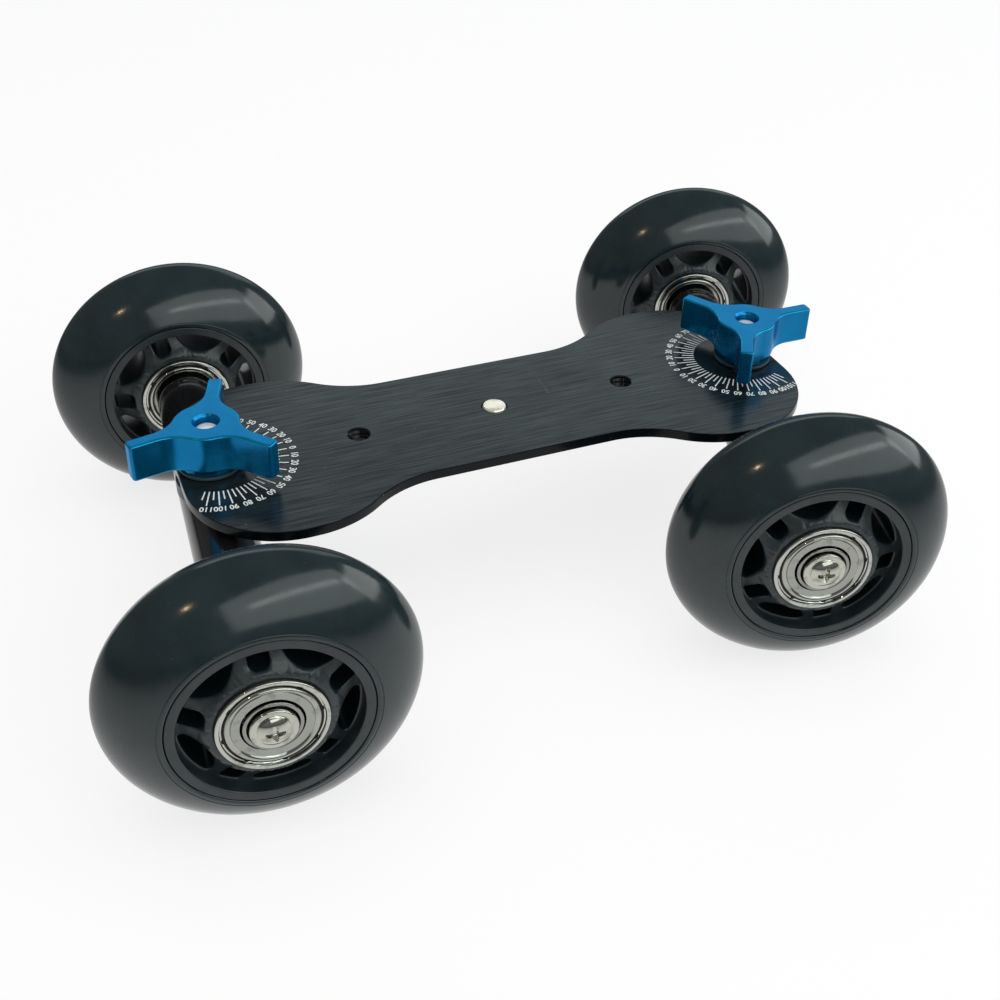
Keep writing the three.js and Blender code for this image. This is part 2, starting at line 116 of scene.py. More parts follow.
def stackRings(bm, rings, loop=False):
    made = [[bm.verts.new(point) for point in ring] for ring in rings]
    pairs = list(zip(made, made[1:]))
    if loop:
        pairs.append((made[-1], made[0]))
    for low, high in pairs:
        for i in range(len(low)):
            j = (i + 1) % len(low)
            bm.faces.new((low[i], low[j], high[j], high[i]))
    return made


# turns a section of (radius, height) points about Z
def turnSection(bm, section, steps, loop=True):
    return stackRings(bm, [atHeight(circlePoints(p[0], steps), p[1]) for p in section], loop)


def ringPoint(radius, angle, z):
    return radius * cos(angle), radius * sin(angle), z


# crests and roots of a thread, from z up to the limit
def threadLevels(crest, depth, pitch, z, limit):
    levels = []
    while z < limit:
        levels += [(crest - depth, z + pitch / 2), (crest, z + pitch)]
        z += pitch
    return levels


# outline and height of each ring of a wall with rounded edges: side -1 is a slab's rim, 1 a hole's
def roundedWall(outline, low, high, rounding, side, steps=3):
    made = []
    for end, inward, order in ((low, 1, range(steps + 1)), (high, -1, range(steps, -1, -1))):
        for k in order:
            angle = radians(90 * k / steps)
            shift = side * rounding * (1 - sin(angle))
            made.append((offsetOutline(outline, shift), end + inward * rounding * (1 - cos(angle))))
    return made


def edgeWall(bm, *wall):
    return stackRings(bm, [atHeight(points, z) for points, z in roundedWall(*wall)])


# fills the flat between a slab's rim and its holes
def fillFlat(bm, loops):
    edges = []
    for loop in loops:
        for i, vert in enumerate(loop):
            other = loop[(i + 1) % len(loop)]
            edges.append(bm.edges.get((vert, other)) or bm.edges.new((vert, other)))
    bmesh.ops.triangle_fill(bm, use_beauty=True, use_dissolve=False, edges=edges)


def storeMesh(name, bm, *used):
    bmesh.ops.scale(bm, vec=(mm, mm, mm), verts=bm.verts)
    mesh = bpy.data.meshes.new(name)
    bm.to_mesh(mesh)
    bm.free()
    for finish in used:
        mesh.materials.append(finishes[finish])
    return mesh


# closes the drawn shape, marks its sharp edges and gives it its finishes
def toMesh(name, bm, *used, sharpDegrees=38):
    bmesh.ops.remove_doubles(bm, verts=bm.verts, dist=0.0008)
    bmesh.ops.recalc_face_normals(bm, faces=bm.faces)
    limit = radians(sharpDegrees)
    for face in bm.faces:
        face.smooth = True
    for edge in bm.edges:
        edge.smooth = len(edge.link_faces) != 2 or edge.calc_face_angle(0.0) < limit
    return storeMesh(name, bm, *used)


def turnedMesh(name, section, steps, *used, loop=True, sharpDegrees=38):
    bm = bmesh.new()
    turnSection(bm, section, steps, loop)
    return toMesh(name, bm, *used, sharpDegrees=sharpDegrees)


# gives a ring of faces another of the mesh's finishes
def paintRing(mesh, index, fromRadius, toRadius):
    for face in mesh.polygons:
        if fromRadius * mm < hypot(face.center.x, face.center.y) < toRadius * mm:
            face.material_index = index


def addObject(name, data):
    made = bpy.data.objects.new(name, data)
    bpy.context.collection.objects.link(made)
    return made


def addPiece(name, mesh, place, body, nodes=()):
    piece = addObject(name, mesh)
    piece.matrix_world = place
    even = piece.modifiers.new("evenNormals", "WEIGHTED_NORMAL")
    even.keep_sharp = True
    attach(piece, body)
    if nodes:
        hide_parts(*nodes)
    return piece


# the evaluated shape of an object, as a mesh of its own
def shapeOf(thing):
    bpy.context.view_layer.update()
    return bpy.data.meshes.new_from_object(thing.evaluated_get(bpy.context.evaluated_depsgraph_get()))


# patterns for the finishes

# sets a node's fixed values and links the others
def feed(tree, node, inputs):
    for socket, value in inputs.items():
        if isinstance(value, bpy.types.NodeSocket):
            tree.links.new(value, node.inputs[socket])
        else:
            node.inputs[socket].default_value = value


def addNode(tree, kind, inputs, output, operation=None):
    node = tree.nodes.new("ShaderNode" + kind)
    if operation:
        node.operation = operation
    feed(tree, node, inputs)
    return node.outputs[output]


def newFinish(name):
    finish = bpy.data.materials.new(name)
    finish.use_nodes = True
    tree = finish.node_tree
    where = tree.nodes.new("ShaderNodeTexCoord").outputs["Object"]
    return finish, tree, tree.nodes["Principled BSDF"], where


def stretch(tree, where, scale, turn=0):
    return addNode(tree, "Mapping", {"Vector": where, "Scale": scale, "Rotation": (0, 0, radians(turn))}, "Vector")


def grain(tree, where, scale, detail, roughness=0.55):
    values = {"Vector": where, "Scale": scale, "Detail": detail, "Roughness": roughness}
    return addNode(tree, "TexNoise", values, "Fac")


def spread(tree, value, fromLow, fromHigh, toLow=0, toHigh=1):
    values = {"Value": value, "From Min": fromLow, "From Max": fromHigh, "To Min": toLow, "To Max": toHigh}
    return addNode(tree, "MapRange", values, "Result")


def reverse(tree, share):
    return spread(tree, share, 0, 1, 1, 0)


# marks of the given strength where a pattern peaks
def specks(tree, where, scale, fromLow, fromHigh, strength):
    return spread(tree, grain(tree, where, scale, 2), fromLow, fromHigh, 0, strength)


def combine(tree, first, second, operation="MULTIPLY"):
    return addNode(tree, "Math", {0: first, 1: second}, "Value", operation)


# blends two colours, where either may be a fixed colour or another blend
def blendColours(tree, share, first, second):
    node = tree.nodes.new("ShaderNodeMix")
    node.data_type = "RGBA"
    colours = [(*colour, 1) if isinstance(colour, tuple) else colour for colour in (first, second)]
    feed(tree, node, {0: share, 6: colours[0], 7: colours[1]})
    return node.outputs[2]


def relief(tree, height, depth):
    return addNode(tree, "Bump", {"Height": height, "Distance": depth * mm}, "Normal")


# distance from the piece's own Z axis
def distanceFromAxis(tree, where):
    flat = addNode(tree, "VectorMath", {0: where, 1: (1, 1, 0)}, "Vector", "MULTIPLY")
    return addNode(tree, "VectorMath", {0: flat}, "Value", "LENGTH")


# 1 on faces that look along the piece's own Z, 0 on its walls
def flatShare(tree, wall, flat):
    normal = tree.nodes.new("ShaderNodeTexCoord").outputs["Normal"]
    height = addNode(tree, "SeparateXYZ", {"Vector": normal}, "Z")
    return spread(tree, addNode(tree, "Math", {0: height}, "Value", "ABSOLUTE"), wall, flat)


# finishes: dust and scratches are (scale, pattern from, pattern to, strength)

plateFinish = {
    "darkColour": (0.0015, 0.0035, 0.0050),
    "lightColour": (0.019, 0.028, 0.032),
    "dustColour": (0.32, 0.33, 0.33),
    "roughness": (0.16, 0.28),
    "gloss": (0.17, 0.47),
    "brushSpacing": 0.50,
    "brushLength": 15,
    "brushDepth": 0.016,
    "brushTilt": (0.5, 0.9),
    "cloudScale": 38,
    "dust": (1500, 0.74, 0.78, 0.55),
    "scratch": (1, 0.735, 0.77, 0.22),
    "scratchScale": (900, 45, 900),
    "scratchDegrees": 28,
}


def brushedBlack():
    finish, tree, shader, where = newFinish("brushedPlateBlack")
    along, across = 1 / (plateFinish["brushLength"] * mm), 1 / (plateFinish["brushSpacing"] * mm)
    brush = grain(tree, stretch(tree, where, (along, across, along)), 1, 5, 0.6)
    brush = combine(tree, brush, flatShare(tree, *plateFinish["brushTilt"]))
    shade = combine(tree, brush, grain(tree, where, plateFinish["cloudScale"], 3))
    plain = blendColours(tree, spread(tree, shade, 0.12, 0.42), plateFinish["darkColour"], plateFinish["lightColour"])
    dust = specks(tree, where, *plateFinish["dust"])
    scratchPlace = stretch(tree, where, plateFinish["scratchScale"], plateFinish["scratchDegrees"])
    marks = combine(tree, dust, specks(tree, scratchPlace, *plateFinish["scratch"]), "MAXIMUM")
    feed(tree, shader, {
        "Base Color": blendColours(tree, marks, plain, plateFinish["dustColour"]),
        "Roughness": spread(tree, shade, 0.1, 0.45, *plateFinish["roughness"]),
        "Specular IOR Level": spread(tree, brush, 0.36, 0.62, *plateFinish["gloss"]),
        "Normal": relief(tree, brush, plateFinish["brushDepth"]),
    })
    return finish


barFinish = {
    "darkColour": (0.004, 0.004, 0.005),
    "lightColour": (0.010, 0.010, 0.011),
    "roughness": (0.07, 0.16),
    "streakScale": (900, 30, 900),
    "streakDepth": 0.0015,
}


def glossBlack():
    finish, tree, shader, where = newFinish("glossBarBlack")
    streak = grain(tree, stretch(tree, where, barFinish["streakScale"]), 1, 4)
    feed(tree, shader, {
        "Base Color": blendColours(tree, streak, barFinish["darkColour"], barFinish["lightColour"]),
        "Roughness": spread(tree, streak, 0.3, 0.7, *barFinish["roughness"]),
        "Normal": relief(tree, streak, barFinish["streakDepth"]),
    })
    return finish


knobFinish = {
    "deepColour": (0.002, 0.160, 0.380),
    "brightColour": (0.004, 0.215, 0.470),
    "edgeHighlightColour": (0.012, 0.330, 0.560),
    "edgeShine": (0.50, 0.76, 1.0),
    "metal": 0.76,
    "roughness": (0.18, 0.27),
    "grainSize": 0.12,
    "grainDepth": 0.0024,
    "cloudScale": 160,
}


def anodisedBlue(name, low, high):
    finish, tree, shader, where = newFinish(name)
    fine = grain(tree, where, 1 / (knobFinish["grainSize"] * mm), 3, 0.6)
    cloud = grain(tree, where, knobFinish["cloudScale"], 3)
    tone = spread(tree, combine(tree, fine, cloud), 0.1, 0.4)
    feed(tree, shader, {
        "Base Color": blendColours(tree, tone, knobFinish[low], knobFinish[high]),
        "Roughness": spread(tree, fine, 0.3, 0.7, *knobFinish["roughness"]),
        "Metallic": knobFinish["metal"],
        "Specular Tint": (*knobFinish["edgeShine"], 1),
        "Normal": relief(tree, fine, knobFinish["grainDepth"]),
    })
    return finish


tyreFinish = {
    "darkColour": (0.0080, 0.0158, 0.0182),
    "lightColour": (0.0122, 0.0220, 0.0250),
    "dustColour": (0.16, 0.165, 0.16),
    "roughness": (0.11, 0.18),
    "gloss": 0.56,
    "cloudScale": 90,
    "smearScale": 240,
    "dust": (1900, 0.75, 0.79, 0.4),
    "rippleScale": 420,
    "rippleDepth": 0.006,
}


def castUrethane():
    finish, tree, shader, where = newFinish("castTyreUrethane")
    tone = spread(tree, grain(tree, where, tyreFinish["cloudScale"], 4), 0.35, 0.65)
    plain = blendColours(tree, tone, tyreFinish["darkColour"], tyreFinish["lightColour"])
    smear = grain(tree, where, tyreFinish["smearScale"], 5)
    ripple = grain(tree, where, tyreFinish["rippleScale"], 3)
    feed(tree, shader, {
        "Base Color": blendColours(tree, specks(tree, where, *tyreFinish["dust"]), plain, tyreFinish["dustColour"]),
        "Roughness": spread(tree, smear, 0.3, 0.7, *tyreFinish["roughness"]),
        "Specular IOR Level": tyreFinish["gloss"],
        "Normal": relief(tree, ripple, tyreFinish["rippleDepth"]),
    })
    return finish


hubFinish = {
    "darkColour": (0.010, 0.016, 0.019),
    "lightColour": (0.018, 0.026, 0.030),
    "windowShadeColour": (0.003, 0.008, 0.010),
    "windowShadeReach": (17.5, 17.7),
    "windowShadeTilt": (0.12, 0.35),
    "dustColour": (0.17, 0.18, 0.18),
    "roughness": (0.28, 0.42),
    "gloss": 0.55,
    "cloudScale": 170,
    "dust": (1400, 0.73, 0.77, 0.5),
    "grainScale": 2600,
    "grainDepth": 0.010,
}


def mouldedNylon():
    finish, tree, shader, where = newFinish("mouldedHubNylon")
    tone = spread(tree, grain(tree, where, hubFinish["cloudScale"], 3), 0.35, 0.65)
    plain = blendColours(tree, tone, hubFinish["darkColour"], hubFinish["lightColour"])
    # painted shade: the walls of the windows get a darker colour than the faces and the rim
    near, far = hubFinish["windowShadeReach"]
    inside = spread(tree, distanceFromAxis(tree, where), near * mm, far * mm, 1, 0)
    paintedWindowShade = combine(tree, inside, reverse(tree, flatShare(tree, *hubFinish["windowShadeTilt"])))
    plain = blendColours(tree, paintedWindowShade, plain, hubFinish["windowShadeColour"])
    fine = grain(tree, where, hubFinish["grainScale"], 3)
    feed(tree, shader, {
        "Base Color": blendColours(tree, specks(tree, where, *hubFinish["dust"]), plain, hubFinish["dustColour"]),
        "Roughness": spread(tree, fine, 0.3, 0.7, *hubFinish["roughness"]),
        "Specular IOR Level": hubFinish["gloss"],
        "Normal": relief(tree, fine, hubFinish["grainDepth"]),
    })
    return finish


# name, colour, tarnish, roughness, depth of the turning marks, metal
steelFinish = {
    "race": ("polishedRaceSteel", (0.53, 0.54, 0.50), (0.25, 0.24, 0.21), (0.05, 0.12), 0.0010, 1),
    "shield": ("stampedShieldSteel", (0.37, 0.38, 0.35), (0.20, 0.20, 0.18), (0.14, 0.24), 0.0030, 1),
    # bead: a lighter and smoother copy of the shield steel, where the lighter colour is a painted highlight
    "bead": ("paintedHighlightBeadSteel", (0.42, 0.43, 0.39), (0.22, 0.21, 0.18), (0.06, 0.12), 0.0012, 1),
    # inner: a darker copy of the race steel, painted shade on the recessed inner race
    "inner": ("paintedShadeInnerSteel", (0.32, 0.32, 0.30), (0.17, 0.17, 0.15), (0.08, 0.16), 0.0016, 1),
    # gap: near-black steel, painted shade in the bearing's gaps and recesses
    "gap": ("shadedGapSteel", (0.03, 0.03, 0.03), (0.01, 0.01, 0.01), (0.30, 0.40), 0.0010, 1),
    "screw": ("brightScrewSteel", (0.55, 0.55, 0.49), (0.25, 0.25, 0.21), (0.06, 0.14), 0.0016, 1),
    "tip": ("brightTipSteel", (0.96, 0.90, 0.77), (0.62, 0.56, 0.46), (0.10, 0.20), 0.0012, 0.55),
    "stud": ("plainStudSteel", (0.82, 0.85, 0.86), (0.36, 0.38, 0.38), (0.16, 0.30), 0.0030, 0.35),
}
turningScale = 9000
tarnishScale = 420


# turned steel with fine rings round its own axis and a little tarnish
def turnedSteel(name, colour, tarnish, roughness, depth, metal):
    finish, tree, shader, where = newFinish(name)
    rings = addNode(tree, "CombineXYZ", {"X": distanceFromAxis(tree, where)}, "Vector")
    marks = grain(tree, rings, turningScale, 3)
    cloud = grain(tree, where, tarnishScale, 4)
    feed(tree, shader, {
        "Base Color": blendColours(tree, spread(tree, cloud, 0.52, 0.72, 0, 0.7), colour, tarnish),
        "Roughness": spread(tree, combine(tree, marks, cloud), 0.1, 0.45, *roughness),
        "Metallic": metal,
        "Normal": relief(tree, marks, depth),
    })
    return finish


washerFinish = {
    "colour": (0.025, 0.065, 0.085),
    "cloudColour": (0.045, 0.095, 0.120),
    "roughness": (0.30, 0.45),
    "cloudScale": 600,
    "clearness": 0.25,
}


def washerNylon():
    finish, tree, shader, where = newFinish("clearWasherNylon")
    cloud = grain(tree, where, washerFinish["cloudScale"], 4)
    feed(tree, shader, {
        "Base Color": blendColours(tree, cloud, washerFinish["colour"], washerFinish["cloudColour"]),
        "Roughness": spread(tree, cloud, 0.3, 0.7, *washerFinish["roughness"]),
        "Transmission Weight": washerFinish["clearness"],
    })
    return finish


inkFinish = {
    "colour": (0.80, 0.83, 0.82),
    "wornColour": (0.48, 0.51, 0.51),
    "roughness": (0.5, 0.7),
    "wearScale": 1800,
}


def dialInk():
    finish, tree, shader, where = newFinish("dialMarkInk")
    wear = grain(tree, where, inkFinish["wearScale"], 4)
    worn = spread(tree, wear, 0.45, 0.75)
    feed(tree, shader, {
        "Base Color": blendColours(tree, worn, inkFinish["colour"], inkFinish["wornColour"]),
        "Roughness": spread(tree, wear, 0.3, 0.7, *inkFinish["roughness"]),
    })
    return finish


finishes = {
    "plate": brushedBlack(),
    "bar": glossBlack(),
    "knob": anodisedBlue("anodisedKnobBlue", "deepColour", "brightColour"),
    # a lighter copy of the knob's finish for the rounded edges of the arms: a painted highlight
    "knobEdgeHighlight": anodisedBlue("paintedHighlightKnobEdge", "brightColour", "edgeHighlightColour"),
    "tyre": castUrethane(),
    "hub": mouldedNylon(),
    "washer": washerNylon(),
    "ink": dialInk(),
}
for kind, values in steelFinish.items():
    finishes[kind] = turnedSteel(*values)
print("finishes made, %d" % len(finishes))


# mounting plate with its two printed dials

plate = {
    "waistWidth": 40,
    "cornerRadius": 22,
    "shoulderRadius": 25,
    "lobeFlat": 1.5,
    "edge": 0.28,
    "studHole": 3.3,
    "screwHole": 3.02,
    "countersink": 0.18,
    "accessoryHole": 33.9,
    "threadMajor": 2.95,
    "threadMinor": 2.55,
    "threadPitch": 1.27,
    "mouth": 2.85,
    "collar": 4.0,
    "collarDepth": 1.3,
    "collarEdge": 0.3,
    "collarFillet": 0.2,
}
plateLow, plateHigh = [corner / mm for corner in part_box("mounting_plate")]
plateCentre = (plateLow + plateHigh) / 2
plateLength = plateHigh.x - plateLow.x
lobeWidth = plateHigh.y - plateLow.y
plateThickness = plateHigh.z - plateLow.z
plateTop = plateHigh.z
pivots = {side: joints[side + "_swivel"]["pos_m"][0] / mm for side in ("left", "right")}


def dogBone():
    halfLobe = lobeWidth / 2
    halfWaist = plate["waistWidth"] / 2
    shoulder = plate["shoulderRadius"]
    corner = plate["cornerRadius"]
    cornerX = plateLength / 2 - corner
    shoulderX = cornerX - plate["lobeFlat"]
    slope = degrees(acos(1 - (halfLobe - halfWaist) / (2 * shoulder)))
    waistX = shoulderX - 2 * shoulder * sin(radians(slope))
    quarter = arcPoints(cornerX, halfLobe - corner, corner, 0, 90, 26)
    quarter += arcPoints(shoulderX, halfLobe - shoulder, shoulder, 90, 90 + slope, 12)[1:]
    quarter += arcPoints(waistX, halfWaist + shoulder, shoulder, -90 + slope, -90, 12)[1:]
    upper = quarter + [Vector((-p.x, p.y)) for p in reversed(quarter)]
    return upper + [Vector((-p.x, -p.y)) for p in upper]


def holeWall(bm, centreX, levels, steps):
    return stackRings(bm, [[(p.x + centreX, p.y, z) for p in circlePoints(r, steps)] for r, z in levels])


# a tapped hole's wall, with a crest at every pitch, and the short collar round its lower end
def tappedWall(bm, centreX):
    major, minor, pitch = plate["threadMajor"], plate["threadMinor"], plate["threadPitch"]
    collar, edge, fillet = plate["collar"], plate["collarEdge"], plate["collarFillet"]
    bottom = -plateThickness - plate["collarDepth"]
    levels = [(plate["mouth"], 0.0), (minor, -plate["countersink"])]
    z = -plate["countersink"] - 0.1
    while z > bottom + pitch:
        levels += [(minor, z), (major, z - pitch * 0.45), (major, z - pitch * 0.55), (minor, z - pitch)]
        z -= pitch
    levels += [(minor + fillet, bottom), (collar - edge, bottom), (collar, bottom + edge)]
    levels += [(collar, -plateThickness - fillet), (collar + fillet, -plateThickness)]
    return holeWall(bm, centreX, levels, 48)


def plainHole(bm, centreX, radius):
    edge = plate["countersink"]
    levels = [(radius + edge, 0.0), (radius, -edge), (radius, edge - plateThickness), (radius + edge, -plateThickness)]
    return holeWall(bm, centreX, levels, 64)


def platePiece():
    bm = bmesh.new()
    wall = edgeWall(bm, dogBone(), -plateThickness, 0, plate["edge"], -1, 2)
    holes = [plainHole(bm, pivots[side] - plateCentre.x, plate["studHole"]) for side in ("left", "right")]
    holes.append(plainHole(bm, 0, plate["screwHole"]))
    holes += [tappedWall(bm, sign * plate["accessoryHole"]) for sign in (-1, 1)]
    fillFlat(bm, [wall[-1]] + [hole[0] for hole in holes])
    fillFlat(bm, [wall[0]] + [hole[-1] for hole in holes])
    place = Matrix.Translation(Vector((plateCentre.x, plateCentre.y, plateTop)) * mm)
    mesh = toMesh("plate_body", bm, "plate", sharpDegrees=30)
    addPiece("plate_body", mesh, place, "plate", ["mounting_plate"])
    return place


dial = {
    "centre": 67.1,
    "tickInner": 11.06,
    "shortOuter": 14.06,
    "longOuter": 16.13,
    "tickWidth": 0.30,
    "lastTick": 115,
    "lastNumber": 110,
    "numberRadius": 17.45,
    "numberHeight": 1.70,
    "numberSqueeze": 0.88,
    "numberBoldness": 0.018,
    "inkThickness": 0.012,
}


def numberShape(text):
    curve = bpy.data.curves.new("dialNumber", "FONT")
    curve.body = text
    curve.align_x = "CENTER"
    curve.resolution_u = 3
    curve.offset = dial["numberBoldness"]
    holder = addObject("dialNumber", curve)
    mesh = shapeOf(holder)
    points = [Vector(v.co) for v in mesh.vertices]
    faces = [list(p.vertices) for p in mesh.polygons]
    bpy.data.objects.remove(holder)
    bpy.data.meshes.remove(mesh)
    low = min(p.y for p in points)
    size = dial["numberHeight"] / (max(p.y for p in points) - low)
    middleX = (max(p.x for p in points) + min(p.x for p in points)) / 2
    half = dial["numberHeight"] / 2
    squeeze = size * dial["numberSqueeze"]
    return [Vector(((p.x - middleX) * squeeze, (p.y - low) * size - half)) for p in points], faces


def dialDirections(zero, mark):
    angle = radians(zero + mark)
    out = Vector((cos(angle), sin(angle)))
    return out, Vector((out.y, -out.x))


# scale of degrees: zero points to the middle of the plate, and both ways count away from it
def dialPiece(side, platePlace):
    bm = bmesh.new()
    zero = 0 if side == "left" else 180
    centre = Vector((-dial["centre"] if side == "left" else dial["centre"], 0))
    level = dial["inkThickness"]
    marks = [0] + [sign * step for step in range(5, dial["lastTick"] + 1, 5) for sign in (-1, 1)]
    for mark in marks:
        out, across = dialDirections(zero, mark)
        across = across * dial["tickWidth"] / 2
        inner = out * dial["tickInner"]
        outer = out * (dial["shortOuter"] if mark % 10 else dial["longOuter"])
        corners = (inner - across, inner + across, outer + across, outer - across)
        bm.faces.new([bm.verts.new((*(centre + p), level)) for p in corners])
    for mark in marks:
        if mark % 10 or abs(mark) > dial["lastNumber"]:
            continue
        out, across = dialDirections(zero, mark)
        points, faces = numberShape(str(abs(mark)))
        spots = [centre + (dial["numberRadius"] + p.y) * out + p.x * across for p in points]
        verts = [bm.verts.new((*spot, level)) for spot in spots]
        for face in faces:
            bm.faces.new([verts[i] for i in face])
    for face in bm.faces:
        if face.normal.z < 0:
            face.normal_flip()
    name = "dial_scale_" + side
    scale = addObject(name, storeMesh(name, bm, "ink"))
    scale.matrix_world = platePlace
    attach(scale, "plate")


platePlace = platePiece()
for side in ("left", "right"):
    dialPiece(side, platePlace)
print("plate and dials made")


# camera screw

cameraScrew = {
    "shank": 2.78,
    "tip": 2.55,
    "tipChamfer": 0.3,
    "pitch": 1.27,
    "threadDepth": 0.35,
    "head": 6.5,
    "headThickness": 4,
    "headEdge": ((0.7, 0, False), (0.25, 0.3, False), (0, 0.6, True)),  # inward, up, knurled
    "slotWidth": 1.6,
    "slotDepth": 1.5,
    "knurls": 36,
    "knurlDepth": 0.22,
}


# the rim of the head is knurled, so each ring moves in and out with the angle
def knurledRing(radius, z, depth):
    points = []
    steps = cameraScrew["knurls"] * 4
    for i in range(steps):
        reach = radius - (depth if i % 4 in (2, 3) else 0)
        points.append(ringPoint(reach, 2 * pi * i / steps, z))
    return points


# takes a cutter's shape out of a piece for good, so that no boolean is left on it
def cutMesh(piece, cutterMesh):
    cutter = addObject("cutter", cutterMesh)
    cutter.matrix_world = piece.matrix_world.copy()
    cut = piece.modifiers.new("cut", "BOOLEAN")
    cut.object = cutter
    cut.operation = "DIFFERENCE"
    cut.solver = "EXACT"
    even = piece.modifiers["evenNormals"]
    even.show_viewport = False
    made = shapeOf(piece)
    piece.modifiers.remove(cut)
    even.show_viewport = True
    piece.data = made
    bpy.data.objects.remove(cutter)


def cameraScrewPiece():
    low, high = [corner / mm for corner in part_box("camera_screw")]
    top = high.z - plateTop
    headLow = low.z - plateTop
    headTop = headLow + cameraScrew["headThickness"]
    shank, pitch = cameraScrew["shank"], cameraScrew["pitch"]
    rim = []
    for inward, rise, knurled in cameraScrew["headEdge"]:
        rim.append((cameraScrew["head"] - inward, rise, cameraScrew["knurlDepth"] if knurled else 0))
    levels = [(0, headLow, 0)] + [(radius, headLow + rise, depth) for radius, rise, depth in rim]
    levels += [(radius, headTop - rise, depth) for radius, rise, depth in reversed(rim)]
    levels.append((shank, headTop, 0))
    z = headTop + pitch / 2
    chamferLow = top - cameraScrew["tipChamfer"]
    while z < chamferLow - pitch:
        levels += [(shank, z, 0), (shank - cameraScrew["threadDepth"], z + 0.5, 0)]
        z += pitch
    levels += [(shank, chamferLow - 0.3, 0), (shank, chamferLow, 0)]
    levels += [(cameraScrew["tip"] + 0.06, top - 0.04, 0), (cameraScrew["tip"] - 0.06, top, 0), (0, top, 0)]
    bm = bmesh.new()
    stackRings(bm, [knurledRing(*level) for level in levels])
    mesh = toMesh("camera_screw_body", bm, "tip", sharpDegrees=30)
    place = Matrix.Translation(Vector(((low.x + high.x) / 2, 0, plateTop)) * mm)
    screw = addPiece("camera_screw_body", mesh, place, "camera_screw", ["camera_screw"])
    cutter = bmesh.new()
    bmesh.ops.create_cube(cutter, size=1)
    size = (3 * cameraScrew["head"], cameraScrew["slotWidth"], 2 * cameraScrew["slotDepth"])
    bmesh.ops.scale(cutter, vec=size, verts=cutter.verts)
    bmesh.ops.translate(cutter, vec=(0, 0, headLow), verts=cutter.verts)
    cutMesh(screw, toMesh("slotCutter", cutter, "tip"))


cameraScrewPiece()
print("camera screw made")


# trucks: axle bar, stud, washers and clamp knob

truck = {
    "barRadius": 7.5,
    "barEdge": 0.55,
    "boreRadius": 2.8,
    "boreDepth": 6,
    "boreEdge": 0.3,
    "seatHeight": 5.4,
    "seatLength": 17,
    "studRadius": 2.5,
    "studPitch": 0.8,
    "studThread": 0.3,
    "studPointRadius": 1.9,
    "studFootEdge": 0.4,
    "studPointEdge": ((0, 0.08), (0.25, 0)),  # inward, down
    "studPointDepth": 0.45,
    "washerBore": 3.1,
    "swivelWasherRadius": 8,
    "knobWasherRadius": 7.2,
}
knob = {
    "hubRadius": 7.4,
    "armReach": 18,
    "armWidth": 3.3,
    "armFillet": 8,
    "tipRadius": 0.8,
    "arms": 3,
    "edge": 0.45,
    "margin": 0.3,
    "footEdge": 0.3,
    "armLift": 1.3,
    "boreRadius": 2.7,
    "threadPitch": 0.8,
    "threadDepth": 0.15,
    "mouthRadius": 3.1,
    "mouthDepth": 0.4,
    "angles": {"left": 71, "right": 119.5},
}


def truckAngle(side):
    axis = joints["front_" + side + "_spin"]["axis"]
    return atan2(-axis[0], axis[1])


def barMesh():
    bm = bmesh.new()
    first = Vector(joints["front_left_spin"]["pos_m"]) / mm
    last = Vector(joints["rear_left_spin"]["pos_m"]) / mm
    half = (last - first).length / 2 - layout["barEnd"]
    radius, edge, seat = truck["barRadius"], truck["barEdge"], truck["seatHeight"]
    bore, soft = truck["boreRadius"], truck["boreEdge"]
    section = [(bore, -half + truck["boreDepth"]), (bore, -half + soft), (bore + soft, -half)]
    section += [(radius - edge, -half), (radius - 0.15, -half + 0.3), (radius, -half + edge)]
    halfSeat = truck["seatLength"] / 2
    rings = []
    for i, (r, y) in enumerate(mirrored(section)):
        if i == len(section):
            for at, clip in ((-halfSeat, False), (-halfSeat, True), (halfSeat, True), (halfSeat, False)):
                rings.append([(p.x, at, min(p.y, seat) if clip else p.y) for p in circlePoints(radius, 96)])
        rings.append([(p.x, y, p.y) for p in circlePoints(r, 96)])
    stackRings(bm, rings)
    return toMesh("axle_bar_shape", bm, "bar", sharpDegrees=30)


def studMesh(low, high):
    radius, pitch, foot = truck["studRadius"], truck["studPitch"], truck["studFootEdge"]
    levels = [(0, low), (radius - foot, low), (radius, low + foot)]
    levels += threadLevels(radius, truck["studThread"], pitch, low + foot, high - pitch - 0.5)
    levels.append((radius, high - truck["studPointDepth"]))
    levels += [(truck["studPointRadius"] - inward, high - down) for inward, down in truck["studPointEdge"]]
    levels.append((0, high))
    return turnedMesh("clamp_stud_shape", levels, 64, "stud", loop=False, sharpDegrees=30)


def ringMesh(name, inner, outer, low, high, finish, edge=0.15):
    corners = [(inner, low, edge), (outer, low, edge), (outer, high, edge), (inner, high, edge)]
    return turnedMesh(name, softened(corners), 96, finish)


def knobOutline():
    hub, half, fillet = knob["hubRadius"], knob["armWidth"] / 2, knob["armFillet"]
    filletX = half + fillet
    filletY = sqrt((hub + fillet) ** 2 - filletX ** 2)
    tangent = degrees(atan2(filletY, filletX))
    middle = 90 - 180 / knob["arms"]
    tip = knob["tipRadius"]
    rising = arcPoints(0, 0, hub, middle, tangent, 8)
    rising += arcPoints(filletX, filletY, fillet, tangent - 180, -180, 12)[1:]
    gap = knob["armReach"] - tip - filletY
    rising += [Vector((half, filletY + gap * k / 5)) for k in range(1, 5)]
    rising += arcPoints(half - tip, knob["armReach"] - tip, tip, 0, 90, 6)
    third = rising + [Vector((-p.x, p.y)) for p in reversed(rising[1:])]
    outline = []
    for arm in range(knob["arms"]):
        turn = Matrix.Rotation(2 * pi * arm / knob["arms"], 2)
        outline += [turn @ p for p in third]
    return [p for i, p in enumerate(outline) if (p - outline[i - 1]).length > 0.001]


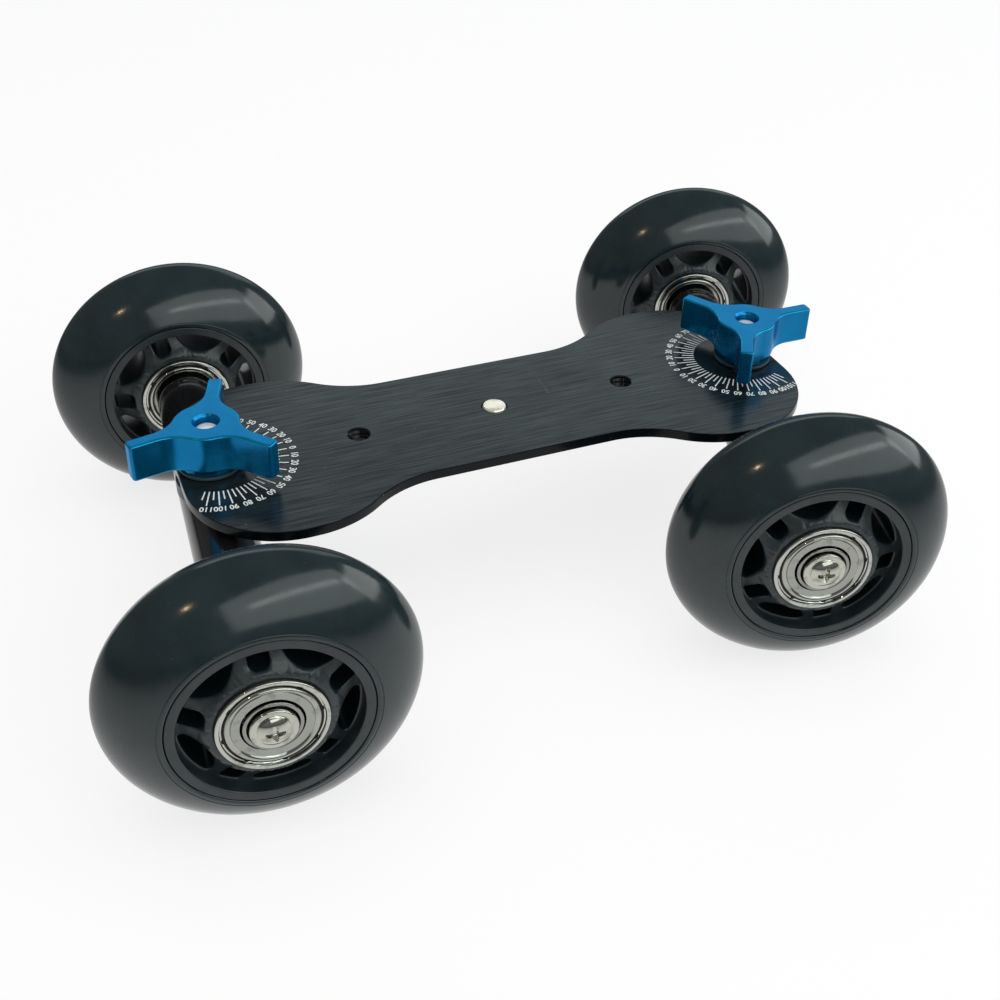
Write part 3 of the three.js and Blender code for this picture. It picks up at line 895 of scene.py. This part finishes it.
def knobMesh(low, high):
    outline = knobOutline()
    edge, footEdge, bore, mouth = knob["edge"], knob["footEdge"], knob["boreRadius"], knob["mouthRadius"]
    foot = knob["hubRadius"] - edge
    armLow = low + knob["armLift"]
    pitch = knob["threadPitch"]

    def circleAt(radius, z):
        return [p.normalized() * radius for p in outline], z

    levels = [circleAt(bore, low), circleAt(foot - footEdge, low), circleAt(foot - 0.09, low + 0.09)]
    levels += [circleAt(foot, low + footEdge), circleAt(foot, armLow)]
    inset = offsetOutline(outline, -edge - knob["margin"])
    levels += [(inset, armLow)] + roundedWall(outline, armLow, high, edge, -1) + [(inset, high)]
    levels += [circleAt(mouth, high), circleAt(mouth - 0.08, high - 0.12), circleAt(bore, high - knob["mouthDepth"])]
    z = high - knob["mouthDepth"] - pitch / 2
    while z > low + pitch:
        levels += [circleAt(bore - knob["threadDepth"], z), circleAt(bore, z - pitch / 2)]
        z -= pitch
    bm = bmesh.new()
    stackRings(bm, [atHeight(points, z) for points, z in levels], True)
    mesh = toMesh("clamp_knob_shape", bm, "knob", "knobEdgeHighlight", sharpDegrees=34)
    # painted highlight: the rounded edges of the arms get a lighter copy of the knob's finish
    for face in mesh.polygons:
        atArm = hypot(face.center.x, face.center.y) > (mouth + 0.3) * mm
        if atArm and 0.15 < abs(face.normal.z) < 0.97:
            face.material_index = 1
    return mesh


# wheels: tyre, hub, two bearings, sleeve, screw and end washer

# bearing's face and bar's end, from the wheel's middle, and a bearing's width
layout = {"face": 11.85, "barEnd": 13.25, "width": 7}
tyre = {
    "radius": 32.2,
    "width": 23.9,
    "roundness": 1.65,
    "middleRadius": 17.1,
    "lipRadius": 21.5,
    "boreRadius": 20.14,
    # from the lip's radius and the tread's side: a fine groove, then a rounded land down to the bore
    "groove": ((-0.05, -0.10), (-0.16, -0.12), (-0.28, 0.06)),
    "land": ((0.45, 0.16), (0.22, 0.12), (0.06, -0.05), (0, -0.22)),
}
hub = {
    "radius": 20.02,
    "rim": 11.0,
    "rimInner": 17.95,
    "rimEdge": 0.35,
    "outerEdge": 0.25,
    "dish": 3.2,
    "dishPower": 1.8,
    "dishEase": 0.22,
    "bossRadius": 12.0,
    "edge": 0.4,
    "seatRadius": 11.02,
    "seatEdge": (0.22, 0.18),
    "seatClearance": 0.05,
    "shoulderRadius": 8.6,
    "pairs": 5,
    "slotWidth": 4.1,
    "slotRoot": 12.85,
    "slotRootCorner": 1.35,
    "slotRimCorner": 0.55,
    "cutReach": 17.4,
    "bowRadius": 8,
    "bowRoot": 13.05,
    "bowCorner": 0.9,
    "gridStep": 1.1,
    "phases": {"front_left": 22.9, "rear_left": 72.1, "front_right": 66.4, "rear_right": 54.7},
}
bearing = {
    "outer": 11,
    "raceInner": 10.15,
    "raceRecess": 0.75,
    "edge": 0.32,
    "trackWall": 9.3,
    "trackHalf": 1.55,
    "trackDepth": 0.45,
    "snapInner": 9.66,
    "snapGap": 0.11,
    "snapLevel": 3.0,
    "snapThickness": 0.3,
    "snapEdge": 0.06,
    "notches": 8,
    "notchDepth": 0.33,
    "shieldInner": 6.22,
    "shieldLevel": 3.1,
    "shieldSheet": 0.16,
    "shieldLip": 0.7,
    "shieldEdge": 0.14,
    "beadRadius": 8.75,
    "beadWidth": 0.75,
    "beadHeight": 0.32,
    "rollWidth": 0.6,
    "rollDepth": 0.95,
    "skirtOverlap": 0.35,
    "innerRace": 5.85,
    "innerCone": 1.15,
    "innerTrackHalf": 1.5,
    "innerEdge": 0.22,
    "bore": 4.0,
    "boreEdge": 0.3,
    "ballRadius": 1.95,
    "pitchRadius": 7.5,
    "balls": 7,
    "cageHalf": 0.2,
    "cageHeight": 0.35,
    "cageSwell": 1.0,
    "cageSpan": 0.72,
}
axle = {
    "sleeveRadius": 3.75,
    "sleeveBore": 2.75,
    "sleeveGap": 0.1,
    "collarRadius": 5.5,
    "screwRadius": 2.5,
    "screwEnd": 25.2,
    "screwPoint": 0.5,
    "threadPitch": 0.8,
    "threadDepth": 0.28,
    "flangeRadius": 4.7,
    "flangeThickness": 0.85,
    "flangeEdge": 0.12,
    "headRadius": 3.3,
    "headHeight": 1.4,
    "crown": 0.95,
    "crownPower": 2.4,
    "crossHalfWidth": 0.5,
    "crossReach": 2.15,
    "crossDepth": 1.4,
    "crossEdge": 0.14,
    "crossSteepness": 1.9,
    "washerRadius": 5.7,
    "gap": 0.3,
}


def tyreMesh():
    power = 2 / tyre["roundness"]
    lip, bore = tyre["lipRadius"], tyre["boreRadius"]
    rise = tyre["radius"] - tyre["middleRadius"]
    start = asin(((lip - tyre["middleRadius"]) / rise) ** (1 / power))
    steps = 60
    section = []
    for i in range(steps + 1):
        angle = start + (pi - 2 * start) * i / steps
        across = -copysign(abs(cos(angle)) ** power, cos(angle)) * tyre["width"] / 2
        section.append((tyre["middleRadius"] + rise * sin(angle) ** power, across))
    side = section[-1][1]
    land = [(lip + shift, side + lift) for shift, lift in tyre["groove"]]
    land += [(bore + shift, side + lift) for shift, lift in tyre["land"]]
    section = [(r, -z) for r, z in reversed(land)] + section + land
    return turnedMesh("tyre_shape", section, 144, "tyre", sharpDegrees=50)


# a U-shaped slot between the two spokes of a pair, pointing along X
def slotOutline():
    half, reach, corner = hub["slotWidth"] / 2, hub["cutReach"], hub["slotRimCorner"]
    across = half - corner
    centreX = sqrt((reach - corner) ** 2 - across ** 2)
    tangent = degrees(atan2(across, centreX))
    inner = hub["slotRootCorner"]
    points = arcPoints(hub["slotRoot"] + inner, half - inner, inner, 90, 180, 8)
    points += arcPoints(hub["slotRoot"] + inner, inner - half, inner, 180, 270, 8)
    points += arcPoints(centreX, -across, corner, -90, -tangent, 5)
    points += arcPoints(0, 0, reach, -tangent, tangent, 4)[1:-1]
    points += arcPoints(centreX, across, corner, tangent, 90, 5)
    return points


# a wide scoop between two pairs, pointing along X
def bowOutline():
    reach, bow, corner = hub["cutReach"], hub["bowRadius"], hub["bowCorner"]
    centre = hub["bowRoot"] + bow
    innerReach, innerBow = reach - corner, bow - corner
    cornerX = (innerReach ** 2 + centre ** 2 - innerBow ** 2) / (2 * centre)
    cornerY = sqrt(innerReach ** 2 - cornerX ** 2)
    scoopEnd = degrees(atan2(cornerY, cornerX - centre))
    rimEnd = degrees(atan2(cornerY, cornerX))
    points = arcPoints(centre, 0, bow, scoopEnd, 360 - scoopEnd, 22)
    points += arcPoints(cornerX, -cornerY, corner, -scoopEnd, -rimEnd, 6)[1:]
    points += arcPoints(0, 0, reach, -rimEnd, rimEnd, 12)[1:-1]
    points += arcPoints(cornerX, cornerY, corner, rimEnd, scoopEnd, 6)[:-1]
    return points


# the spokes' face is level with the rim beside the bearing and sinks in a soft curve towards the rim
def webLevel(radius):
    share = max(0, min(1, (radius - hub["bossRadius"]) / (hub["rimInner"] - hub["bossRadius"])))
    ease = min(1, share / hub["dishEase"])
    return hub["rim"] - hub["dish"] * (1 - (1 - share) ** hub["dishPower"]) * ease * ease * (3 - 2 * ease)


# cuts the flats at the given height into small cells, so that they can be bent
def gridFlats(bm, level, reach, step):
    geom = []
    for face in bm.faces:
        if all(abs(abs(vert.co.z) - level) < 1e-5 for vert in face.verts):
            geom += [face, *face.edges, *face.verts]
    geom = list(set(geom))
    for k in range(-int(reach / step), int(reach / step) + 1):
        for normal in (Vector((1, 0, 0)), Vector((0, 1, 0))):
            cut = bmesh.ops.bisect_plane(bm, geom=geom, dist=1e-4, plane_co=normal * (k * step), plane_no=normal)
            geom = cut["geom"]


# the web is made flat and then bent to its level
def hubMesh():
    bm = bmesh.new()
    rim, rimInner, seat = hub["rim"], hub["rimInner"], hub["seatRadius"]
    flat = webLevel(rimInner)
    swell = rim / flat
    floor = layout["face"] - layout["width"] - hub["seatClearance"]
    seatOut, seatDrop = hub["seatEdge"]
    upper = [(rimInner, flat, 0), (rimInner, rim, hub["rimEdge"]), (hub["radius"], rim, hub["outerEdge"])]
    rimRings = turnSection(bm, softened(mirrored(upper), False), 144, False)
    upper = [(seat + seatOut, flat, 0), (seat, (rim - seatDrop) / swell, 0.05), (seat, floor / swell, 0)]
    upper.append((hub["shoulderRadius"], floor / swell, 0.2))
    seatRings = turnSection(bm, softened(mirrored(upper), False), 112, False)
    tops, bottoms = [rimRings[0], seatRings[0]], [rimRings[-1], seatRings[-1]]
    for pair in range(hub["pairs"]):
        for outline, share in ((slotOutline(), 0), (bowOutline(), 0.5)):
            turn = Matrix.Rotation(2 * pi * (pair + share) / hub["pairs"], 2)
            wall = edgeWall(bm, [turn @ p for p in outline], -flat, flat, hub["edge"], 1)
            tops.append(wall[-1])
            bottoms.append(wall[0])
    fillFlat(bm, tops)
    fillFlat(bm, bottoms)
    gridFlats(bm, flat, rimInner, hub["gridStep"])
    for vert in bm.verts:
        reach = hypot(vert.co.x, vert.co.y)
        if reach < rimInner - 0.001:
            vert.co.z *= webLevel(reach) / flat
    return toMesh("wheel_hub_shape", bm, "hub", sharpDegrees=40)


def outerRaceMesh():
    half, edge = layout["width"] / 2, bearing["edge"]
    outer, face, wall = bearing["outer"], bearing["raceInner"], bearing["trackWall"]
    recess, track = half - bearing["raceRecess"], bearing["trackHalf"]
    side = [(outer, half, edge), (face, half, 0.1), (face, recess, 0), (wall, recess, 0), (wall, track, 0)]
    side.append((wall + bearing["trackDepth"], 0, 0))
    corners = side + [(r, -z, e) for r, z, e in reversed(side[:-1])]
    mesh = turnedMesh("outer_race_shape", softened(corners), 128, "race", "gap")
    # painted shade: the recess inside the race's face gets the dark gap steel
    paintRing(mesh, 1, 0, face - 0.02)
    return mesh


# the wire ring that holds a shield in, with notches round its inner edge
def snapRingMesh():
    bm = bmesh.new()
    perNotch = 16
    count = bearing["notches"] * perNotch
    outer = bearing["raceInner"] - bearing["snapGap"]
    high, soft = bearing["snapLevel"], bearing["snapEdge"]
    low = high - bearing["snapThickness"]
    for sign in (-1, 1):
        rings = []
        for inset, z in ((0, low), (0, high - soft), (soft, high)):
            ring = []
            for i in range(count):
                notch = bearing["notchDepth"] if i % perNotch in (3, 4) else 0
                ring.append(ringPoint(bearing["snapInner"] + notch + inset, 2 * pi * i / count, sign * z))
            rings.append(ring)
        for reach, z in ((outer - 0.05, high), (outer, high - soft), (outer, low)):
            rings.append(atHeight(circlePoints(reach, count), sign * z))
        stackRings(bm, rings, True)
    return toMesh("snap_ring_shape", bm, "race", sharpDegrees=30)


# the stamped shield: its outside rolls down into the race's groove, and its inside edge is turned down
def shieldMesh():
    bm = bmesh.new()
    level, crest, inner = bearing["shieldLevel"], bearing["beadRadius"], bearing["shieldInner"]
    high = level + bearing["beadHeight"]
    low = high - bearing["rollDepth"]
    line = [Vector((bearing["snapInner"] + bearing["skirtOverlap"], low))]
    for k in range(10, 0, -1):
        angle = radians(9 * k)
        roll = Vector((bearing["rollWidth"] * sin(angle), bearing["rollDepth"] * cos(angle)))
        line.append(Vector((crest, low)) + roll)
    for k in range(9):
        share = k / 8
        fall = bearing["beadHeight"] * 1.25 * share ** 2
        line.append(Vector((crest - bearing["beadWidth"] * share, high - fall)))
    ledge = crest - bearing["beadWidth"] - 0.06
    lip = [(ledge, level, 0), (inner, level, bearing["shieldEdge"]), (inner, level - bearing["shieldLip"], 0)]
    line += softened(lip, False, 6)
    back = [(p.x + 0.02 if i > len(line) - 3 else p.x, p.y - bearing["shieldSheet"]) for i, p in enumerate(line)]
    for sign in (-1, 1):
        section = [(p.x, sign * p.y) for p in line] + [(x, sign * z) for x, z in reversed(back)]
        turnSection(bm, section, 128)
    mesh = toMesh("shield_shape", bm, "shield", "bead", "gap", sharpDegrees=50)
    # painted highlight: the bead and its roll get a lighter, smoother copy of the shield steel; painted shade: the gap
    # beside the snap ring is dark
    paintRing(mesh, 1, ledge, bearing["outer"])
    paintRing(mesh, 2, crest + bearing["rollWidth"], bearing["outer"])
    return mesh


def innerRaceMesh():
    half = layout["width"] / 2
    outer, bore, track, edge = bearing["innerRace"], bearing["bore"], bearing["innerTrackHalf"], bearing["innerEdge"]
    cone = bore + bearing["innerCone"]
    corners = [(bore, half - 0.6, 0), (bore, -half, bearing["boreEdge"]), (outer, -half, edge), (outer, -track, 0)]
    corners += [(outer - bearing["trackDepth"], 0, 0), (outer, track, 0), (outer, half, edge), (cone, half, 0.06)]
    # painted shade: the inner race takes the darker inner steel, and the cone beside the bore the dark gap steel
    mesh = turnedMesh("inner_race_shape", softened(corners), 112, "inner", "gap")
    paintRing(mesh, 1, 0, cone - 0.1)
    return mesh


# the balls in a ribbon that swells round each of them
def ballCageMesh():
    bm = bmesh.new()
    pitch, count, half, perBall = bearing["pitchRadius"], bearing["balls"], bearing["cageHalf"], 16
    for i in range(count):
        angle = 2 * pi * i / count
        made = bmesh.ops.create_uvsphere(bm, u_segments=24, v_segments=14, radius=bearing["ballRadius"])
        shift = (pitch * sin(angle), -pitch * cos(angle), 0)
        bmesh.ops.translate(bm, vec=shift, verts=made["verts"])
    rings = []
    for inset, sign in ((-half, -1), (half, -1), (half, 1), (-half, 1)):
        ring = []
        for i in range(count * perBall):
            share = abs(((i / perBall) + 0.5) % 1 - 0.5) * 2
            angle = 2 * pi * i / (count * perBall) - pi / 2
            swell = bearing["cageSwell"] * max(0, 1 - (share / bearing["cageSpan"]) ** 2)
            ring.append(ringPoint(pitch + inset, angle, sign * (bearing["cageHeight"] + swell)))
        rings.append(ring)
    stackRings(bm, rings, True)
    return toMesh("ball_cage_shape", bm, "race")


def sleeveMesh():
    face = layout["face"] - axle["sleeveGap"]
    collar = layout["face"] - layout["width"] - axle["sleeveGap"]
    outer, wide, bore = axle["sleeveRadius"], axle["collarRadius"], axle["sleeveBore"]
    lower = [(bore, -face, 0.15), (outer, -face, 0.2), (outer, -collar, 0), (wide, -collar, 0.2)]
    return turnedMesh("axle_sleeve_shape", softened(mirrored(lower)), 64, "screw")


# height of the screw's head: a low dome with a cross recess whose wings run out to nothing
def headLevel(x, y, top):
    level = top - axle["crown"] * (hypot(x, y) / axle["headRadius"]) ** axle["crownPower"]
    for along, across in ((abs(x), abs(y)), (abs(y), abs(x))):
        slope = max(0, 1 - along / axle["crossReach"])
        edge = axle["crossHalfWidth"] * (0.75 + 0.25 * slope)
        inside = max(0, min(1, (edge - across) / axle["crossEdge"] + 0.5))
        if inside > 0:
            level = min(level, top - axle["crossDepth"] * min(1, slope * axle["crossSteepness"]) * inside)
    return level


def axleScrewMesh():
    face, soft = layout["face"], axle["flangeEdge"]
    flangeLow = face + soft
    flangeHigh = flangeLow + axle["flangeThickness"]
    top = flangeHigh + axle["headHeight"]
    bm = bmesh.new()
    radius, end, pitch = axle["screwRadius"], axle["screwEnd"], axle["threadPitch"]
    flange, head = axle["flangeRadius"], axle["headRadius"]
    point = axle["screwPoint"]
    levels = [(0, -end), (radius - point, -end), (radius, point - end)]
    levels += threadLevels(radius, axle["threadDepth"], pitch, point - end, -face - 2)
    levels += [(radius, flangeLow), (flange - soft, flangeLow), (flange, flangeLow + soft), (flange, flangeHigh - 0.2)]
    levels += [(flange - 0.08, flangeHigh - 0.06), (flange - 0.25, flangeHigh)]
    levels += [(head + soft, flangeHigh), (head, flangeHigh + soft)]
    rings = [atHeight(circlePoints(r, 128), z) for r, z in levels]
    for i in range(34, -1, -1):
        rings.append([(p.x, p.y, headLevel(p.x, p.y, top)) for p in circlePoints(head * i / 34, 128)])
    stackRings(bm, rings)
    return toMesh("axle_screw_shape", bm, "screw", sharpDegrees=42)


def endWasherMesh():
    low, high = -layout["barEnd"] + axle["gap"], -layout["face"] - axle["gap"]
    return ringMesh("end_washer_shape", axle["sleeveBore"], axle["washerRadius"], low, high, "screw")


wheelMeshes = {
    "tyre": tyreMesh(),
    "hub": hubMesh(),
    "outerRace": outerRaceMesh(),
    "snapRing": snapRingMesh(),
    "shield": shieldMesh(),
    "innerRace": innerRaceMesh(),
    "ballCage": ballCageMesh(),
    "sleeve": sleeveMesh(),
    "screw": axleScrewMesh(),
    "endWasher": endWasherMesh(),
}
print("wheel shapes made, %d" % len(wheelMeshes))


# a wheel's own Z points outwards along its axle, and its Y points up
def wheelPlace(corner):
    joint = joints[corner + "_spin"]
    outward = Vector(joint["axis"]).normalized() * (-1 if corner.startswith("front") else 1)
    turn = Matrix((up.cross(outward), up, outward)).transposed().to_4x4()
    return Matrix.Translation(Vector(joint["pos_m"])) @ turn


def addWheel(corner, side):
    place = wheelPlace(corner)
    wheelBody, truckBody, ballBody = corner + "_wheel", side + "_truck", corner + "_balls"
    hubPlace = place @ Matrix.Rotation(radians(hub["phases"][corner]), 4, "Z")
    for start, shape, spot, body, slotName, node in (
        ("tyre_body_", "tyre", place, wheelBody, "tyre", "tyre_"),
        ("hub_body_", "hub", hubPlace, wheelBody, "wheel_hub", "wheel_hub_"),
        ("sleeve_body_", "sleeve", place, truckBody, "screw_steel", "axle_sleeve_"),
        ("screw_body_", "screw", place, truckBody, "screw_steel", "axle_screw_"),
        ("washer_body_", "endWasher", place, truckBody, "screw_steel", "end_washer_"),
    ):
        addPiece(start + corner, wheelMeshes[shape], spot, body, [node + corner])
    offset = layout["face"] - layout["width"] / 2
    for end, sign in (("outboard", 1), ("inboard", -1)):
        spot = place @ Matrix.Translation((0, 0, sign * offset * mm))
        if sign < 0:
            spot = spot @ Matrix.Rotation(pi, 4, "X")
        for start, shape, body, node in (
            ("race", "outerRace", wheelBody, "outer_race"),
            ("snap_ring", "snapRing", wheelBody, None),
            ("shield", "shield", wheelBody, None),
            ("inner_ring", "innerRace", truckBody, "inner_race"),
            ("balls", "ballCage", ballBody, "ball_cage"),
        ):
            nodes = ["%s_%s_%s" % (end, node, corner)] if node else []
            name = "%s_%s_%s" % (start, end, corner)
            addPiece(name, wheelMeshes[shape], spot, body, nodes)


def addTruck(side):
    pivot = Vector((pivots[side], 0, plateTop)) * mm
    place = Matrix.Translation(pivot) @ Matrix.Rotation(truckAngle(side), 4, "Z")
    axleLevel = joints["front_" + side + "_spin"]["pos_m"][2]
    barPlace = place @ Matrix.Translation((0, 0, axleLevel - pivot.z))
    body = side + "_truck"
    for start, shape, spot, slotName, node in (
        ("bar_body_", "bar", barPlace, "axle_bar", "axle_bar_"),
        ("stud_body_", "stud", place, "screw_steel", "clamp_stud_"),
        ("swivel_ring_", "swivelRing", place, "washer_nylon", "swivel_washer_"),
        ("knob_ring_", "knobRing", place, "washer_nylon", "knob_washer_"),
    ):
        addPiece(start + side, truckMeshes[shape], spot, body, [node + side])
    knobPlace = Matrix.Translation(pivot) @ Matrix.Rotation(radians(knob["angles"][side] - 90), 4, "Z")
    addPiece("knob_body_" + side, truckMeshes["knob"], knobPlace, side + "_knob", ["clamp_knob_" + side])


# heights of a node's lowest and highest points over the plate
def levelsOf(node):
    low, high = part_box(node)
    return low.z / mm - plateTop, high.z / mm - plateTop


def truckWasher(name, radius, node):
    return ringMesh(name, truck["washerBore"], radius, *levelsOf(node), "washer")


truckMeshes = {
    "bar": barMesh(),
    "stud": studMesh(*levelsOf("clamp_stud_left")),
    "swivelRing": truckWasher("swivel_ring_shape", truck["swivelWasherRadius"], "swivel_washer_left"),
    "knobRing": truckWasher("knob_ring_shape", truck["knobWasherRadius"], "knob_washer_left"),
    "knob": knobMesh(*levelsOf("clamp_knob_left")),
}
for side in ("left", "right"):
    addTruck(side)
    for end in ("front", "rear"):
        addWheel(end + "_" + side, side)
print("trucks and wheels placed")


# floor, lights and camera, in metres

studio = {
    "floorColours": ((0.96, 0.96, 0.96), (0.9456, 0.9456, 0.9456)),
    "floorRoughness": 0.8,
    "floorGloss": 0.1,
    "floorGlow": 0.78,
    "floorFade": (0.14, 0.40, 0.86, 0.10),
    "floorSize": 8.0,
    "worldColour": (0.95, 0.98, 1.0),
    "worldStrength": 0.18,
}
lights = {
    "skyLight": {"at": (-0.1, -0.2, 1.8), "size": (2.0, 2.0), "power": 22, "colour": (1.0, 0.99, 0.97), "soft": True},
    "windowLight": {"at": (0.58, -1.12, 0.90), "size": (2.6, 1.1), "power": 12, "colour": (0.93, 1.0, 0.98)},
    "streakLight": {"at": (0.50, -0.94, 0.86), "size": (1.5, 0.12), "power": 1.3, "colour": (0.96, 1.0, 0.98)},
    "wallLight": {"at": (0.47, 1.29, 0.82), "size": (2.0, 0.8), "power": 3.9, "colour": (0.84, 0.97, 1.0)},
    "rightLight": {"at": (1.45, -0.15, 0.55), "size": (0.9, 0.7), "power": 4.5, "colour": (0.97, 1.0, 1.0)},
    "spotLight": {"at": (-1.30, -0.92, 1.38), "size": (0.07, 0.07), "power": 1.0, "colour": (1.0, 0.72, 0.42)},
}


# what the camera, metal and glass see of the pale floor glows a little, and it still takes the shadow
def paleFloor():
    finish, tree, shader, where = newFinish("paleFloor")
    feed(tree, shader, {
        "Base Color": blendColours(tree, grain(tree, where, 3, 2), *studio["floorColours"]),
        "Roughness": studio["floorRoughness"],
        "Specular IOR Level": studio["floorGloss"],
    })
    path = tree.nodes.new("ShaderNodeLightPath").outputs
    seen = combine(tree, path["Is Camera Ray"], path["Is Transmission Ray"], "MAXIMUM")
    share = combine(tree, spread(tree, seen, 0, 1, 0, studio["floorGlow"]), path["Is Glossy Ray"], "MAXIMUM")
    # the pale sheet ends a little way off, so reflections of the far floor are dark
    fade = spread(tree, distanceFromAxis(tree, where), *studio["floorFade"])
    fade = combine(tree, fade, reverse(tree, path["Is Glossy Ray"]), "MAXIMUM")
    glow = addNode(tree, "Emission", {"Strength": fade}, "Emission")
    pale = addNode(tree, "MixShader", {0: share, 1: shader.outputs["BSDF"], 2: glow}, "Shader")
    # clear from below, so that the dolly's underside can be looked at
    below = tree.nodes.new("ShaderNodeNewGeometry").outputs["Backfacing"]
    clear = tree.nodes.new("ShaderNodeBsdfTransparent").outputs["BSDF"]
    surface = addNode(tree, "MixShader", {0: below, 1: pale, 2: clear}, "Shader")
    feed(tree, tree.nodes["Material Output"], {"Surface": surface})
    return finish


def addFloor():
    finishes["floor"] = paleFloor()
    bm = bmesh.new()
    half = studio["floorSize"] / 2 / mm
    bm.faces.new([bm.verts.new((x * half, y * half, 0)) for x, y in ((-1, -1), (1, -1), (1, 1), (-1, 1))])
    floor = addObject("floor", storeMesh("floor", bm, "floor"))


def addLight(name, values):
    lamp = bpy.data.lights.new(name, "AREA")
    lamp.shape = "RECTANGLE"
    lamp.size, lamp.size_y = values["size"]
    lamp.energy = values["power"]
    lamp.color = values["colour"]
    light = addObject(name, lamp)
    light.location = values["at"]
    light.visible_glossy = not values.get("soft")
    light.rotation_euler = (-Vector(values["at"])).to_track_quat("-Z", "Y").to_euler()


def addWorld():
    world = bpy.data.worlds.new("studioWorld")
    world.use_nodes = True
    back = world.node_tree.nodes["Background"]
    back.inputs["Color"].default_value = (*studio["worldColour"], 1)
    back.inputs["Strength"].default_value = studio["worldStrength"]
    bpy.context.scene.world = world


# place in millimetres, turn in degrees
photoView = {
    "at": (-111.81, -251.71, 218.64),
    "turn": (56.6364, -1.2798, -22.2928),
    "lens": 48.685,
    "sensor": 36,
    "shift": (0.00195, -0.07503),
    "nearest": 0.01,
}


def addCamera():
    data = bpy.data.cameras.new("photoView")
    data.sensor_width = photoView["sensor"]
    data.lens = photoView["lens"]
    data.shift_x, data.shift_y = photoView["shift"]
    data.clip_start = photoView["nearest"]
    camera = addObject("photoView", data)
    camera.location = Vector(photoView["at"]) * mm
    camera.rotation_euler = [radians(angle) for angle in photoView["turn"]]
    bpy.context.scene.camera = camera


addFloor()
for name, values in lights.items():
    addLight(name, values)
addWorld()
addCamera()
bpy.context.scene.view_settings.view_transform = "Standard"
print("studio made")
